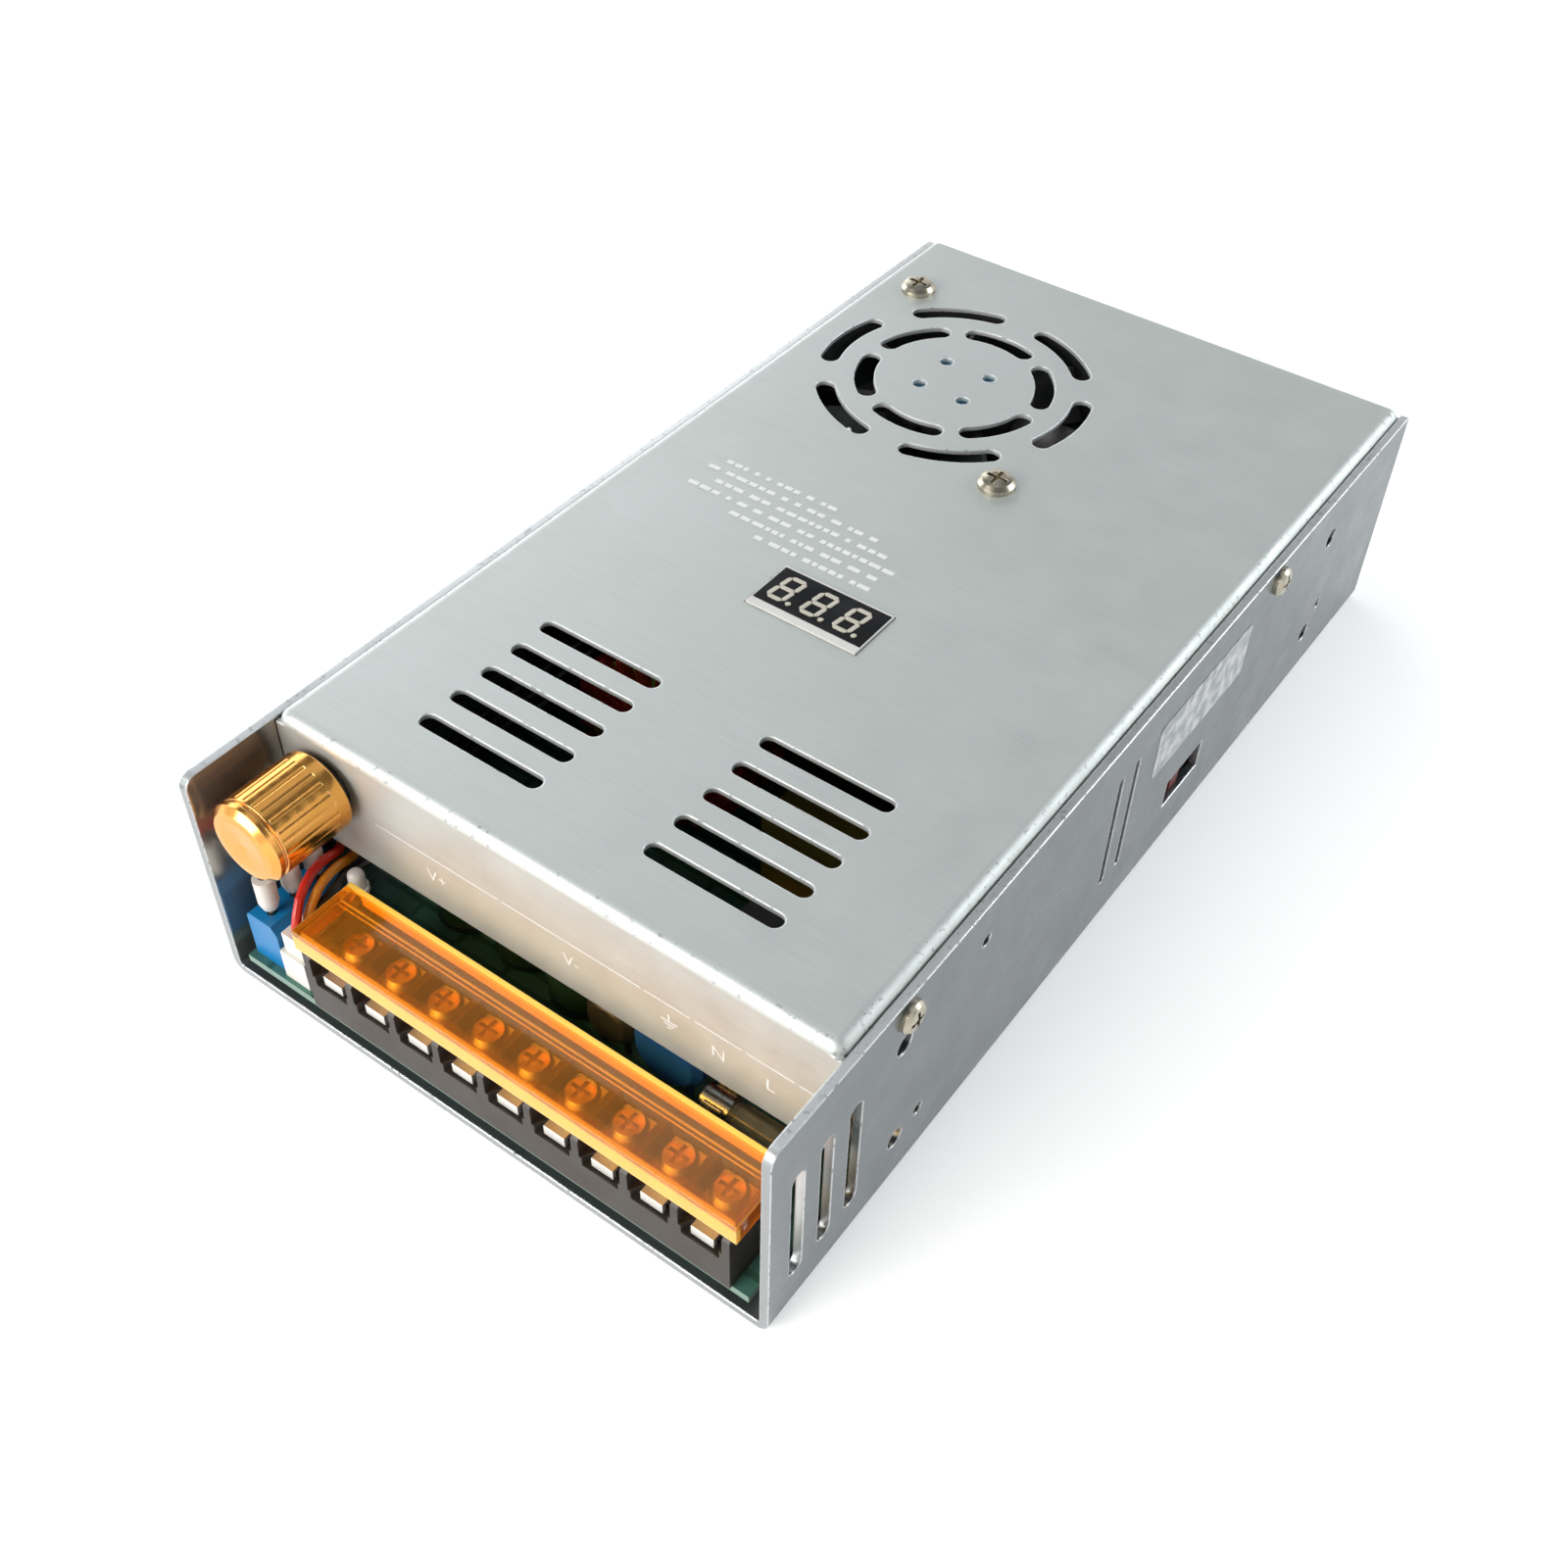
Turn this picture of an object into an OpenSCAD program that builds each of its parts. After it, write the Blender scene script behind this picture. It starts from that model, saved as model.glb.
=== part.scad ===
// Adjustable switching power supply in a folded sheet case.
// Millimetres, +Z up. The origin is the centre of the case's underside.
// -Y is the terminal end, +X is the side with the voltage selector.

/* [Chassis] */
// Outside width over the chassis walls
case_w = 115; // [113:1:125]
// Length of the chassis
case_l = 215; // [212:1:235]
// Height of the cover's top face
case_h = 48; // [47:1:54]
// How far the tops of the walls lie below the cover's top
wall_drop = 1.6; // [1:0.1:2.4]
// Thickness of the aluminium chassis sheet
chassis_t = 1.6; // [1.2:0.1:2]
// Inside radius of the chassis folds
chassis_bend = 0.8; // [0.4:0.1:1.5]
// Radius of the walls' front top corners
wall_corner = 2.5; // [1:0.5:5]
// Diameter of the M4 mounting holes
mount_hole_d = 4; // [3.3:0.1:4.5]
// From each end of the chassis to its mounting holes
mount_end = 32.5; // [28:0.5:37]
// Spacing of the underside's mounting holes across the case
base_pitch_x = 50; // [40:1:60]
// Height of the lower mounting holes in the walls
side_hole_z = 12; // [9:0.5:14]
// Spacing of the walls' mounting holes up the wall
side_pitch_z = 24; // [20:0.5:24]

/* [Selector wall openings] */
// Length of the front slots
side_slot_l = 26; // [16:1:30]
// Width of the front slots
side_slot_w = 3.2; // [2:0.1:4]
// Spacing of the front slots
side_slot_pitch = 7; // [6:0.1:8]
// From the chassis' front edge to the first slot
side_slot_start = 6.5; // [5:0.5:9]
// Height of the slots' middle
side_slot_z = 22; // [20:0.5:24]
// Length of the pair of narrow slits
slit_l = 26; // [16:1:28]
// Width of the narrow slits
slit_w = 1.8; // [1:0.1:2.5]
// Spacing of the narrow slits
slit_pitch = 5.7; // [4:0.1:7]
// Place of the slits along the case, as a share of its length from the middle
slit_place = -0.033; // [-0.05:0.001:-0.02]
// Height of the slits' middle
slit_z = 25; // [22:0.5:27]
// Diameter of the small tooling holes
pilot_d = 2.4; // [1.5:0.1:3]

/* [Cover] */
// Thickness of the steel cover sheet
cover_t = 1; // [0.8:0.1:1.2]
// Inside radius of the cover's folds
cover_bend = 1.2; // [0.8:0.1:2]
// From the chassis' front edge back to the cover's front lip
lip_setback = 18.5; // [18:0.5:22]
// Height of the front lip
lip_drop = 25; // [22:0.5:26]
// Height of the side flanges
flange_drop = 9; // [8.5:0.5:9.5]
// Length of the top slots
top_slot_l = 25.6; // [18:0.2:28]
// Width of the top slots
top_slot_w = 3.2; // [2:0.1:4]
// Spacing of the top slots
top_slot_pitch = 7.2; // [6:0.1:8]
// Slots in each group
top_slot_n = 5; // [3:1:5]
// From the lip to the first top slot
top_slot_start = 13.3; // [10:0.1:15]
// Distance between the two groups, middle to middle
top_slot_span = 46.4; // [40:0.2:56]
// Length of the rear wall's slots
rear_slot_l = 26; // [16:1:30]
// Width of the rear wall's slots
rear_slot_w = 3; // [2:0.1:4]
// Spacing of the rear wall's slots
rear_slot_pitch = 8; // [6:0.5:10]
// Slots in the rear wall
rear_slot_n = 11; // [5:1:11]
// From the chassis' front edge to the front cover screws
screw_front_in = 33; // [30:0.5:37]
// From the chassis' rear edge to the rear cover screws
screw_rear_in = 59; // [48:0.5:67]
// Depth of the cover screws below the top face
screw_drop = 5.5; // [5:0.1:5.8]
// Head diameter of the cover screws
screw_head_d = 5.6; // [5:0.1:6]
// Head height of the cover screws
screw_head_h = 1.6; // [1.2:0.1:2]
// Shank diameter of the cover screws
screw_d = 2.9; // [2.5:0.1:3]

/* [Fan] */
// Side of the square fan frame
fan_size = 60; // [60:1:62]
// Thickness of the fan
fan_t = 15; // [14:0.5:18]
// From the fan's edge to its screw holes
fan_hole_in = 4.6; // [4.4:0.1:5.5]
// From the left wall to the fan
fan_left = 5.1; // [4:0.1:6]
// Fan's middle along the case, as a share of its length
fan_place_y = 0.2795; // [0.27:0.0001:0.3]
// Thickness of the wall round the fan's duct
duct_wall = 1.5; // [1.3:0.1:2]
// Diameter of the rotor's hub
hub_d = 27; // [24:0.5:30]
// Blades of the rotor
blade_n = 7; // [5:1:9]
// Thickness of a blade
blade_t = 1.1; // [0.8:0.1:1.5]
// Diameter of the rotor's shaft
fan_shaft_d = 3; // [2:0.1:4]
// From the fan's edge to the grille's outer ring of slots
grille_in = 3.7; // [3.2:0.1:5]
// Distance between the grille's two rings of slots
grille_step = 8; // [6.5:0.1:9]
// Width of the grille slots
grille_w = 4; // [3:0.1:4.5]
// Half angle of an outer slot between its end centres
grille_half_out = 17.5; // [12:0.5:20]
// Half angle of an inner slot between its end centres
grille_half_in = 19; // [12:0.5:20]
// Diameter of the four holes over the hub
hub_hole_d = 2.8; // [2:0.1:3.5]
// Distance of the hub holes from the fan's axis
hub_hole_r = 7.2; // [5:0.1:9]
// Head diameter of the fan screws
fan_head_d = 7.4; // [6:0.1:8]
// Head height of the fan screws
fan_head_h = 2; // [1.5:0.1:2.5]

/* [Terminal strip] */
// Spacing the ways aim for; their number follows from the strip's length
way_aim = 9.5; // [9.1:0.1:10]
// From the left wall to the strip
strip_left = 19.45; // [19.2:0.05:20.5]
// From the strip to the right wall
strip_right = 5.45; // [4:0.05:7]
// Thickness of the partitions between ways
rib_t = 1.4; // [1:0.1:1.8]
// Depth of the strip from front to back
strip_depth = 14.5; // [14:0.5:15]
// Height of the bay floors above the board
bay_floor = 8.6; // [8:0.2:9]
// Height of the partitions above the board
rib_h = 13.6; // [13.4:0.1:14]
// Thickness of the terminal plates
plate_t = 0.8; // [0.5:0.1:1]
// Width of the wire nose of a plate
nose_w = 4.2; // [3:0.1:5]
// Space beside a wire clamp in its bay
clamp_gap = 0.65; // [0.5:0.05:0.9]
// Thickness of the wire clamps
clamp_t = 1; // [0.8:0.1:1.2]
// How far a terminal screw's head lies inside its clamp's edges
term_head_in = 0.3; // [0.1:0.05:0.6]
// Head height of the terminal screws
term_head_h = 2.4; // [2:0.1:2.6]
// Shank diameter of the terminal screws
term_screw_d = 3; // [2.5:0.1:3.5]
// From the strip's front to the terminal screws
term_screw_in = 7.2; // [6.8:0.1:7.6]

/* [Terminal lid] */
// Wall thickness of the lid
lid_t = 1; // [0.8:0.1:1.2]
// Outside height of the lid
lid_h = 4.3; // [4:0.1:4.8]
// Depth of the lid from front to back
lid_depth = 13; // [12.6:0.1:13.2]
// Diameter of the hinge pegs
peg_d = 1.8; // [1.4:0.1:2]

/* [Knob and potentiometer] */
// Diameter of the knob
knob_d = 15; // [13:0.5:15.5]
// Length of the knob
knob_l = 16.5; // [15:0.5:17]
// Gap between the lip and the knob
knob_gap = 1.4; // [0.8:0.1:1.8]
// Depth of the knob's axis below the cover's top face
knob_drop = 10.5; // [10:0.5:12]
// Flutes round the grip
flute_n = 24; // [16:1:30]
// Depth of a flute
flute_depth = 0.1; // [0.05:0.05:0.4]
// Length of the smooth collar at each end
collar_l = 2.6; // [2:0.1:3.5]
// Diameter of the potentiometer's shaft
shaft_d = 6; // [5:0.1:6.3]
// Diameter of the potentiometer's case
pot_d = 16.5; // [14:0.5:17]
// Length of the potentiometer's case
pot_l = 9; // [7:0.5:10]
// Diameter of the threaded bushing
bush_d = 7; // [6.9:0.1:8]
// Width of the fixing nut across its flats
nut_af = 10; // [9.5:0.1:10.4]
// Thickness of the fixing nut
nut_t = 2; // [1.5:0.1:2.2]

/* [Meter] */
// Width of the meter
meter_w = 23; // [20:0.5:25]
// Depth of the black face, front to back
face_depth = 10; // [9:0.2:12]
// Width of the white edge in front of the face
white_edge = 1.7; // [1:0.1:2.5]
// Height of the meter's housing
meter_h = 7; // [6:0.2:7.4]
// How far the meter stands above the cover
meter_proud = 0.3; // [0.1:0.1:0.6]
// Meter's middle, across the case
meter_x = -0.7; // [-4:0.1:2]
// Front edge of the meter's face along the case, as a share of its length
meter_place = -0.0902; // [-0.1:0.0001:-0.08]
// Digits
digit_n = 3; // [2:1:3]
// Height of a digit
digit_h = 7.1; // [6:0.1:7.6]
// Width of a digit
digit_w = 4; // [3:0.1:4.4]
// Stroke of a segment
seg_w = 0.85; // [0.6:0.05:1]

/* [Selector] */
// Length of the selector's window
window_l = 14; // [13:0.5:15]
// Height of the selector's window
window_h = 6.5; // [6:0.5:7]
// Selector's middle along the case, as a share of its length
selector_place = 0.093; // [0.085:0.001:0.095]
// Middle of the selector's window above the underside
selector_z = 15.2; // [14:0.2:16]
// Travel of the slider
selector_travel = 6; // [4:0.5:6]

/* [Circuit board] */
// Height of the standoffs
standoff_h = 2.4; // [2:0.1:3]
// Diameter of the standoffs
standoff_d = 6; // [5:0.5:6.5]
// Thickness of the board
board_t = 1.6; // [1.2:0.1:2]
// Thickness of the insulating film
film_t = 0.3; // [0.2:0.05:0.4]
// From the chassis' front edge to the board's front edge
board_in = 0.6; // [0.4:0.1:1]

/* [Power parts] */
// Diameter of the bulk capacitors
bulk_d = 25; // [22:0.5:26]
// Space between the bulk capacitors and the cover
bulk_gap = 3.4; // [2:0.2:10]
// Diameter of the output capacitors
out_d = 12.5; // [10:0.5:12.5]
// Height of the output capacitors
out_h = 20; // [16:1:21]
// Space between the output choke and the cover
choke_head = 2.6; // [2:0.1:5]
// Inside diameter of the output choke's core
choke_bore = 17; // [16:0.5:18]
// Thickness of the output choke's core
choke_h = 14; // [12:0.5:16]
// Thickness of the choke wire
choke_wire = 1.7; // [1.2:0.1:1.8]
// Turns on the output choke
choke_turns = 22; // [12:1:24]
// Width of the transformer core
core_w = 42; // [38:0.5:43]
// Height of the transformer core
core_h = 30; // [26:0.5:32]
// Depth of the transformer core
core_depth = 15; // [13:0.5:17]
// Outside depth of the transformer coil
coil_depth = 32; // [28:0.5:34]
// Thickness of the heat sink bars
sink_t = 4; // [3:0.5:5]
// Height of the heat sink bars
sink_h = 26; // [24:1:28]

/* [Fits] */
// Gap between parts that sit beside each other
fit_gap = 0.25; // [0.2:0.05:0.3]
// Radial clearance of a turning fit
run_fit = 0.05; // [0.03:0.01:0.1]
// Clearance round a screw in its hole
screw_fit = 0.2; // [0.1:0.05:0.3]
// Clearance round a part that moves
move_gap = 0.3; // [0.3:0.05:0.5]

/* [Hidden] */
$fn = 48;

// Small overlap of cutters past the faces they cut
cut = 1;
// Case planes
front_y = -case_l / 2;
rear_y = case_l / 2;
wall_x = case_w / 2 - chassis_t;
top_z = case_h - cover_t;
wall_z = case_h - wall_drop;
// Cover
cover_w = 2 * (wall_x - fit_gap);
cover_r = cover_bend + cover_t;
lip_y = front_y + lip_setback;
cover_rear_y = rear_y - fit_gap;
lip_z = case_h - lip_drop;
screw_z = case_h - screw_drop;
screw_tap = screw_d + 2 * run_fit;
screw_past = 1.5;
screw_shank = chassis_t + fit_gap + cover_t + screw_past;
side_hole_zs = [side_hole_z, side_hole_z + side_pitch_z];
mount_pitch_y = case_l - 2 * mount_end;
slit_y = slit_place * case_l;
screw_y_front = front_y + screw_front_in;
screw_y_rear = rear_y - screw_rear_in;
pilot_holes = [[front_y + 38.8, 12.5], [front_y + 54.7, 38], [rear_y - 28.3, 17]];
// Fan
fan_x = -wall_x + fan_left + fan_size / 2;
fan_y = fan_place_y * case_l;
fan_z = top_z - fan_t;
fan_pitch = fan_size - 2 * fan_hole_in;
duct_d = fan_size - 2 * duct_wall;
grille_r_out = fan_size / 2 - grille_in;
grille_r_in = grille_r_out - grille_step;
fan_corner_r = 4;
fan_flange_t = 3.5;
fan_waist = 0.3;
shaft_recess = 0.6;
shaft_end_gap = 0.2;
fan_screw_hole = 4.3;
fan_screw_d = 3.8;
fan_screw_l = 9;
motor_t = 2;
hub_wall = 1.4;
hub_top = 1.6;
hub_gap = 0.9;
hub_lift = 0.6;
hub_edge = 0.8;
strut_w = 3;
fan_screw_at = [[-1, 1], [1, -1]];
blade_camber = 14;
blade_start = 22;
blade_sweep = 48;
blade_root = 0.7;
blade_tip_gap = 0.7;
// Board stack
board_z = chassis_t + standoff_h;
deck_z = board_z + board_t;
board_side_gap = 2.4;
board_rear_gap = 6;
board_w = 2 * (wall_x - board_side_gap);
board_y0 = front_y + board_in;
board_y1 = rear_y - board_rear_gap;
stand_in = 5.9;
stand_x = wall_x - stand_in;
stand_front = 34;
stand_rear = 10.5;
stand_gap = 1.4;
sel_w = 24;
selector_y = selector_place * case_l;
board_screw_d = 2.8;
board_head_d = 5.2;
board_head_h = 1.8;
stand_ys = [front_y + stand_front, selector_y + (sel_w + board_head_d) / 2 + stand_gap, rear_y - stand_rear];
stand_floor = 0.2;
screw_end_gap = 0.3;
board_thread = standoff_h - stand_floor - screw_end_gap;
film_edge = 1.5;
film_w = 2 * (stand_x - standoff_d / 2 - fit_gap);
// Terminal strip
strip_x0 = -wall_x + strip_left;
strip_l = wall_x - strip_right - strip_x0;
strip_x = strip_x0 + strip_l / 2;
way_n = round((strip_l - rib_t) / way_aim);
way_pitch = (strip_l - rib_t) / way_n;
clamp_w = way_pitch - rib_t - 2 * clamp_gap;
term_head_d = clamp_w - 2 * term_head_in;
strip_y1 = front_y + strip_depth;
bay_z = deck_z + bay_floor;
rib_z = deck_z + rib_h;
term_y = front_y + term_screw_in;
nose_in = 0.6;
term_thread = 3.5;
term_well = 5;
rib_chamfer = 1.2;
shelf_rise = 1.8;
shelf_l = 4;
back_low = 2;
scoop_r = way_pitch * 0.38;
scoop_out = 0.6;
scoop_lift = 6.7;
scoop_z = deck_z + scoop_lift;
nose_gap = 0.6;
nose_turn = bay_z - scoop_z - nose_gap;
clamp_corner = 0.6;
way_x = [for (i = [0 : way_n - 1]) strip_x + (i - (way_n - 1) / 2) * way_pitch];
// Terminal lid, shut, with its hinge at the foot of its rear wall
lid_z0 = rib_z + move_gap;
lid_z1 = lid_z0 + lid_h;
lid_l = strip_l + 2 * (move_gap + lid_t);
lid_x0 = strip_x - lid_l / 2;
lid_rear_y = front_y + lid_depth;
hinge_y = lid_rear_y - lid_t / 2;
hinge_lift = 0.4;
hinge_z = lid_z0 + hinge_lift;
ear_wall = 0.9;
ear_r = peg_d / 2 + ear_wall;
lug_wall = 0.5;
lug_r = peg_d / 2 + lug_wall;
lid_rib_in = 4.2;
lid_rib_w = 0.8;
lid_rib_h = 0.4;
// Knob and potentiometer
knob_lid_gap = 0.7;
knob_x = lid_x0 - knob_lid_gap - knob_d / 2;
knob_z = case_h - knob_drop;
knob_y1 = lip_y - knob_gap;
knob_y0 = knob_y1 - knob_l;
knob_face_t = 2.4;
knob_chamfer = 1.2;
knob_dish = 0.35;
knob_land = 1.4;
knob_rim = 0.15;
knob_groove = 0.4;
groove_w = 0.3;
groove_slope = 0.2;
knob_edge = 0.4;
flute_start = 0.6;
shaft_gap = 0.3;
set_screw_gap = 1.2;
hex_depth = 1.2;
washer_past = 0.3;
bush_root = 0.5;
washer_t = 0.5;
nut_seat = 0.02;
bush_out = 4.2;
recess_l = bush_out - knob_gap + move_gap;
recess_d = nut_af / cos(30) + 2 * move_gap;
shaft_in = 4.5;
set_screw_d = 3;
lug_in = 3;
lug_pitch = 5;
lug_w = 2;
lug_t = 0.8;
lug_l = 4.5;
// Meter
meter_top = case_h + meter_proud;
meter_y = meter_place * case_l;
meter_y0 = meter_y - white_edge;
rear_edge = 0.4;
side_edge = 0.2;
meter_depth = face_depth + white_edge + rear_edge;
face_t = 0.8;
digit_t = 0.15;
digit_pitch = 6.9;
digit_slant = 0.14;
point_d = 1;
point_in = 0.9;
seg_gap = 0.12;
digit_shift = -0.6;
meter_board_edge = 1;
meter_board_t = 1.2;
meter_board_z = meter_top - meter_h - meter_board_t;
// Selector
sel_depth = 10;
sel_h = 2 * (selector_z - deck_z);
sel_x1 = wall_x - fit_gap;
sel_face = 1.2;
nub_l = window_l - selector_travel - 2 * move_gap;
nub_h = window_h - 2 * move_gap;
nub_out = 0.6;
tongue_past = 2.5;
tongue_l = nub_l + 2 * tongue_past;
nub_root = 0.1;
nub_groove_w = 1;
nub_groove_d = 0.5;
tongue_t = 2;
// Front left corner: the white plug beside the strip and the blue terminal beside that
plug_w = 5.8;
plug_l = 9.8;
plug_under = 6.4;
plug_h = lip_z - plug_under - deck_z;
plug_gap = 1.4;
plug_x1 = lid_x0 - plug_gap;
plug_y0 = front_y + plug_gap;
shroud_h = 6.6;
shroud_t = 0.7;
key_l = 1;
key_y = 1.6;
key_h = 8.8;
latch_y = 3.2;
latch_z = 3.3;
latch_t = 0.5;
blue_w = 7;
blue_l = 15.3;
blue_under = 7;
blue_pitch = 5.08;
blue_gap = 0.8;
blue_in = 2;
blue_end = 2.6;
blue_slope = [1.2, 1.6];
blue_edge = 0.6;
blue_port = [0.8, 3.2, 4];
blue_port_lift = 2;
blue_port_z = deck_z + blue_port_lift;
blue_x = plug_x1 - plug_w - blue_gap - blue_w / 2;
blue_y0 = front_y + blue_in;
blue_ys = [for (i = [0 : 2]) blue_y0 + blue_end + i * blue_pitch];
blue_z = lip_z - blue_under;
collar_d = 3.6;
collar_foot = 0.72;
collar_cone = 1.6;
tip_d = 1.3;
tip_free = 1.5;
tip_in = 3;
tip_end_gap = 0.5;
collar_z = blue_z + tip_free;
bend_room = 5.5;
collar_h = knob_z - knob_d / 2 - bend_room - collar_z;
wire_d = 1.7;
lamp_side = 2.4;
lamp_in = 2.6;
lamp_lift = 12;
lamp_x = lid_x0 - lamp_side;
lamp_y = lip_y - lamp_in;
lamp_d = 3;
lamp_flange = [0.4, 1];
lamp_body = 2.4;
lamp_leg = 0.5;
lamp_leg_pitch = 2.54;
lamp_z = deck_z + lamp_lift;

// Routes of the leads: each leaves and meets its seats straight. Between them it bends through points given
// as steps from the front left corner under the lip, from the left wall beside the meter, from the meter's
// front or from the fan's lead outlet.
lead_gap = 0.4;
plug_rise = 1.2;
lug_rise = 2.5;
lead_side = [1, -0.9, -0.7];
fan_lead_side = [0.3, 1, 0.2];
pot_plug_end = 2.4;
pot_plug_pitch = 2.5;
pot_plug_x = plug_x1 - plug_w / 2;
pot_plug_z = deck_z + plug_h + lead_gap;
pot_lug_y = lip_y + cover_t + lug_in + lug_t / 2;
pot_lug_z = knob_z - pot_d / 2 - lug_l - lead_gap;
corner = [-wall_x, front_y, lip_z];
meter_wall = [-wall_x, meter_y, meter_board_z];
meter_foot = [meter_x, meter_y, meter_board_z];
pot_bends = [
    [[12.5, 6.5, -1.6], [10.7, 11.1, -0.4], [9.9, 15.1, -0.8], [8.9, 18.5, -2.4], [6.3, 21.5, -3]],
    [[13, 9.9, -2], [12, 13.9, -1.8], [11.5, 16.9, -2.4], [10.9, 19.9, -3.4]],
    [[13.7, 11.3, -4.1], [13, 13.9, -4.1], [12.5, 16.5, -4.1], [12.9, 19.1, -4.2], [14.3, 21.5, -3.2]]
];
meter_bends = [
    [[5.4, 5.1, 4.2], [2.5, 6.5, 3], [1.5, 10.5, -0.5], [1.5, 15.5, -3.4], [1.7, 20.5, -5.6],
     [2.3, 31.5, -6.5], [2.5, 47.5, -6.5], [3.5, 61.5, -4.5]],
    [[5.7, 10.1, 3.8], [3.7, 11.1, 3], [3.4, 13.5, 0], [3.4, 17, -3.2], [3.7, 20.5, -5.8],
     [4.5, 31.5, -6.7], [4.7, 47.5, -6.7], [5.7, 61, -4.9]],
    [[5.6, 15.1, 3.6], [4.5, 16.1, 2], [4.7, 17, -1], [5.5, 18.7, -4], [5.8, 20.5, -6],
     [6.7, 31.5, -6.9], [6.9, 47.5, -6.9], [7.9, 60.5, -5.3]]
];
meter_turns = [
    [[7.6, -18.1, -17.5], [12.3, -9.2, -11.9]],
    [[9.7, -19.1, -18.7], [13.7, -10, -14.1]],
    [[11.8, -20.1, -19.9], [15.1, -10.8, -16.3]]
];
meter_ends = [
    [[-37.8, -1.9, -7.6], [-25.3, 1.8, -4.9], [-13.3, 3.8, -3.7]],
    [[-37.3, -1.9, -10], [-24.3, 1.1, -7.5], [-8.3, 2, -5.9]],
    [[-36.8, -1.9, -12.4], [-23.3, 0.4, -10.1], [-4.3, 0.8, -8.1]]
];
meter_pad_pitch = 5;
meter_pad_in = 3;
fan_plug_step = [7.2, -28.5];
fan_plug_at = [fan_x + fan_size / 2 + fan_plug_step[0], fan_y + fan_plug_step[1]];
fan_plug_size = [5.8, 7.4, 5];
fan_plug_top = [4.6, 6.2, 7.2];
fan_pin_pitch = 2.6;
fan_exit = [-20, 6];
fan_exit_pitch = 2.4;
fan_bends = [[3.8, -4.6, -6], [6, -7.5, -16]];
function from(o, points) = [for (p = points) o + p];
pot_routes = [
    for (i = [0 : 2])
        let (a = [pot_plug_x, plug_y0 + pot_plug_end + i * pot_plug_pitch, pot_plug_z])
        let (b = [knob_x + (i - 1) * lug_pitch, pot_lug_y, pot_lug_z])
            concat([a, a + [0, 0, plug_rise]], from(corner, pot_bends[i]), [b - [0, 0, lug_rise], b])
];
meter_routes = [
    for (i = [0 : 2])
        let (a = [blue_x, blue_ys[i], collar_z + collar_h + lead_gap])
        let (b = [meter_x + (i - 1) * meter_pad_pitch, meter_y + meter_pad_in, meter_board_z - lead_gap])
            concat([a, a + [0, 0, plug_rise]], from(corner, meter_bends[i]), from(meter_wall, meter_turns[i]),
                   from(meter_foot, meter_ends[i]), [b - [0, 0, lug_rise], b])
];
fan_routes = [
    for (i = [0 : 1])
        let (exit_y = fan_y + fan_exit[0] + i * fan_exit_pitch)
        let (pin_y = fan_plug_at[1] + (i - 0.5) * fan_pin_pitch)
        let (a = [fan_x + fan_size / 2 + lead_gap, exit_y, fan_z + fan_exit[1]])
        let (b = [fan_plug_at[0], pin_y, deck_z + fan_plug_top[2] + lead_gap])
            concat([a, a + [plug_rise, 0, 0]], from(a, fan_bends), [b + [0, 0, lug_rise], b])
];

// Places of the power parts on the board, in a case of the drawn size; another case spreads them in proportion
drawn_w = 115;
drawn_l = 215;
function across(x) = x * case_w / drawn_w;
function along(y) = y * case_l / drawn_l;
choke_at = [across(-17), along(-33)];
choke_lift = 2.2;
choke_gap = 0.1;
choke_arc = 340;
choke_tail = 0.4;
choke_d = top_z - choke_head - deck_z - choke_lift - 2 * (choke_wire + choke_gap);
choke_z = deck_z + choke_lift + choke_wire + choke_gap + choke_d / 2;
line_at = [across(33), along(-65)];
line_core = [26, 10, 24];
line_leg = 8;
line_yoke = 6;
line_coil = [10, 14, 11.2];
line_coil_r = 2;
line_turns = 8;
line_pitch = 1.25;
line_wire = 0.85;
line_swell = 0.5;
film_at = [across(20.5), along(-37)];
film_box = [26, 11, 19];
film_foot = [4, 0.6];
film_foot_in = 1.5;
disc_at = [[across(40.5), along(-41)], [across(40.5), along(-34)]];
disc_size = [9, 4, 2];
varistor_at = [21, along(-84)];
varistor_size = [14, 4.6, 2];
thermistor_at = [9, along(-84)];
thermistor_size = [10, 4.4, 3];
disc_leg = 0.8;
fuse_at = [39, along(-85.5)];
fuse_lift = 5;
fuse_z = deck_z + fuse_lift;
fuse_d = 5.2;
fuse_l = 20;
glass_in = 0.25;
cap_l = 5.4;
clip_t = 0.5;
clip_in = 0.8;
clip_foot = 2.4;
core_at = [across(2), along(6)];
core_lift = 3;
core_leg = 6.5;
core_yoke = 6;
core_mid = 12;
coil_flange = 1;
coil_foot = 4;
coil_foot_in = 3;
coil_corner = 2;
bulk_h = top_z - deck_z - bulk_gap;
bulk_at = [[across(36), along(50)], [across(36), along(78)]];
out_at = [[across(-30), along(-76.5)], [across(-16), along(-76.5)], [across(-2), along(-78.5)]];
sink_flange = [4, 2.5];
left_sink_y = [-32, 24];
right_sink_y = [-40, 2];
rectifier_ys = [-20, 2];
rectifier_size = [4.8, 15.6, 19];
switch_ys = [-32, -18];
switch_size = [4.4, 10.2, 15.4];
tab_lift = 6;
tab_hole_d = 3.2;
tab_leg = [0.8, 1];
leg_in = 0.5;
bridge_y = -11;
bridge_size = [5.6, 12, 19];
bridge_lift = 4;
bridge_leg = 1;
bridge_pitch = 3;
control_board_at = [across(-31), along(8)];
control_board = [1.2, 32, 22];
control_chips = [[6, 8, 10], [20, 9, 5]];
chip_size = [1.8, 4];

// Flat shapes
module stadium(l, w) {
    square([l - w, w], center = true);
    for (s = [-1, 1]) {
        translate([s * (l - w) / 2, 0]) circle(d = w);
    }
}

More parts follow.
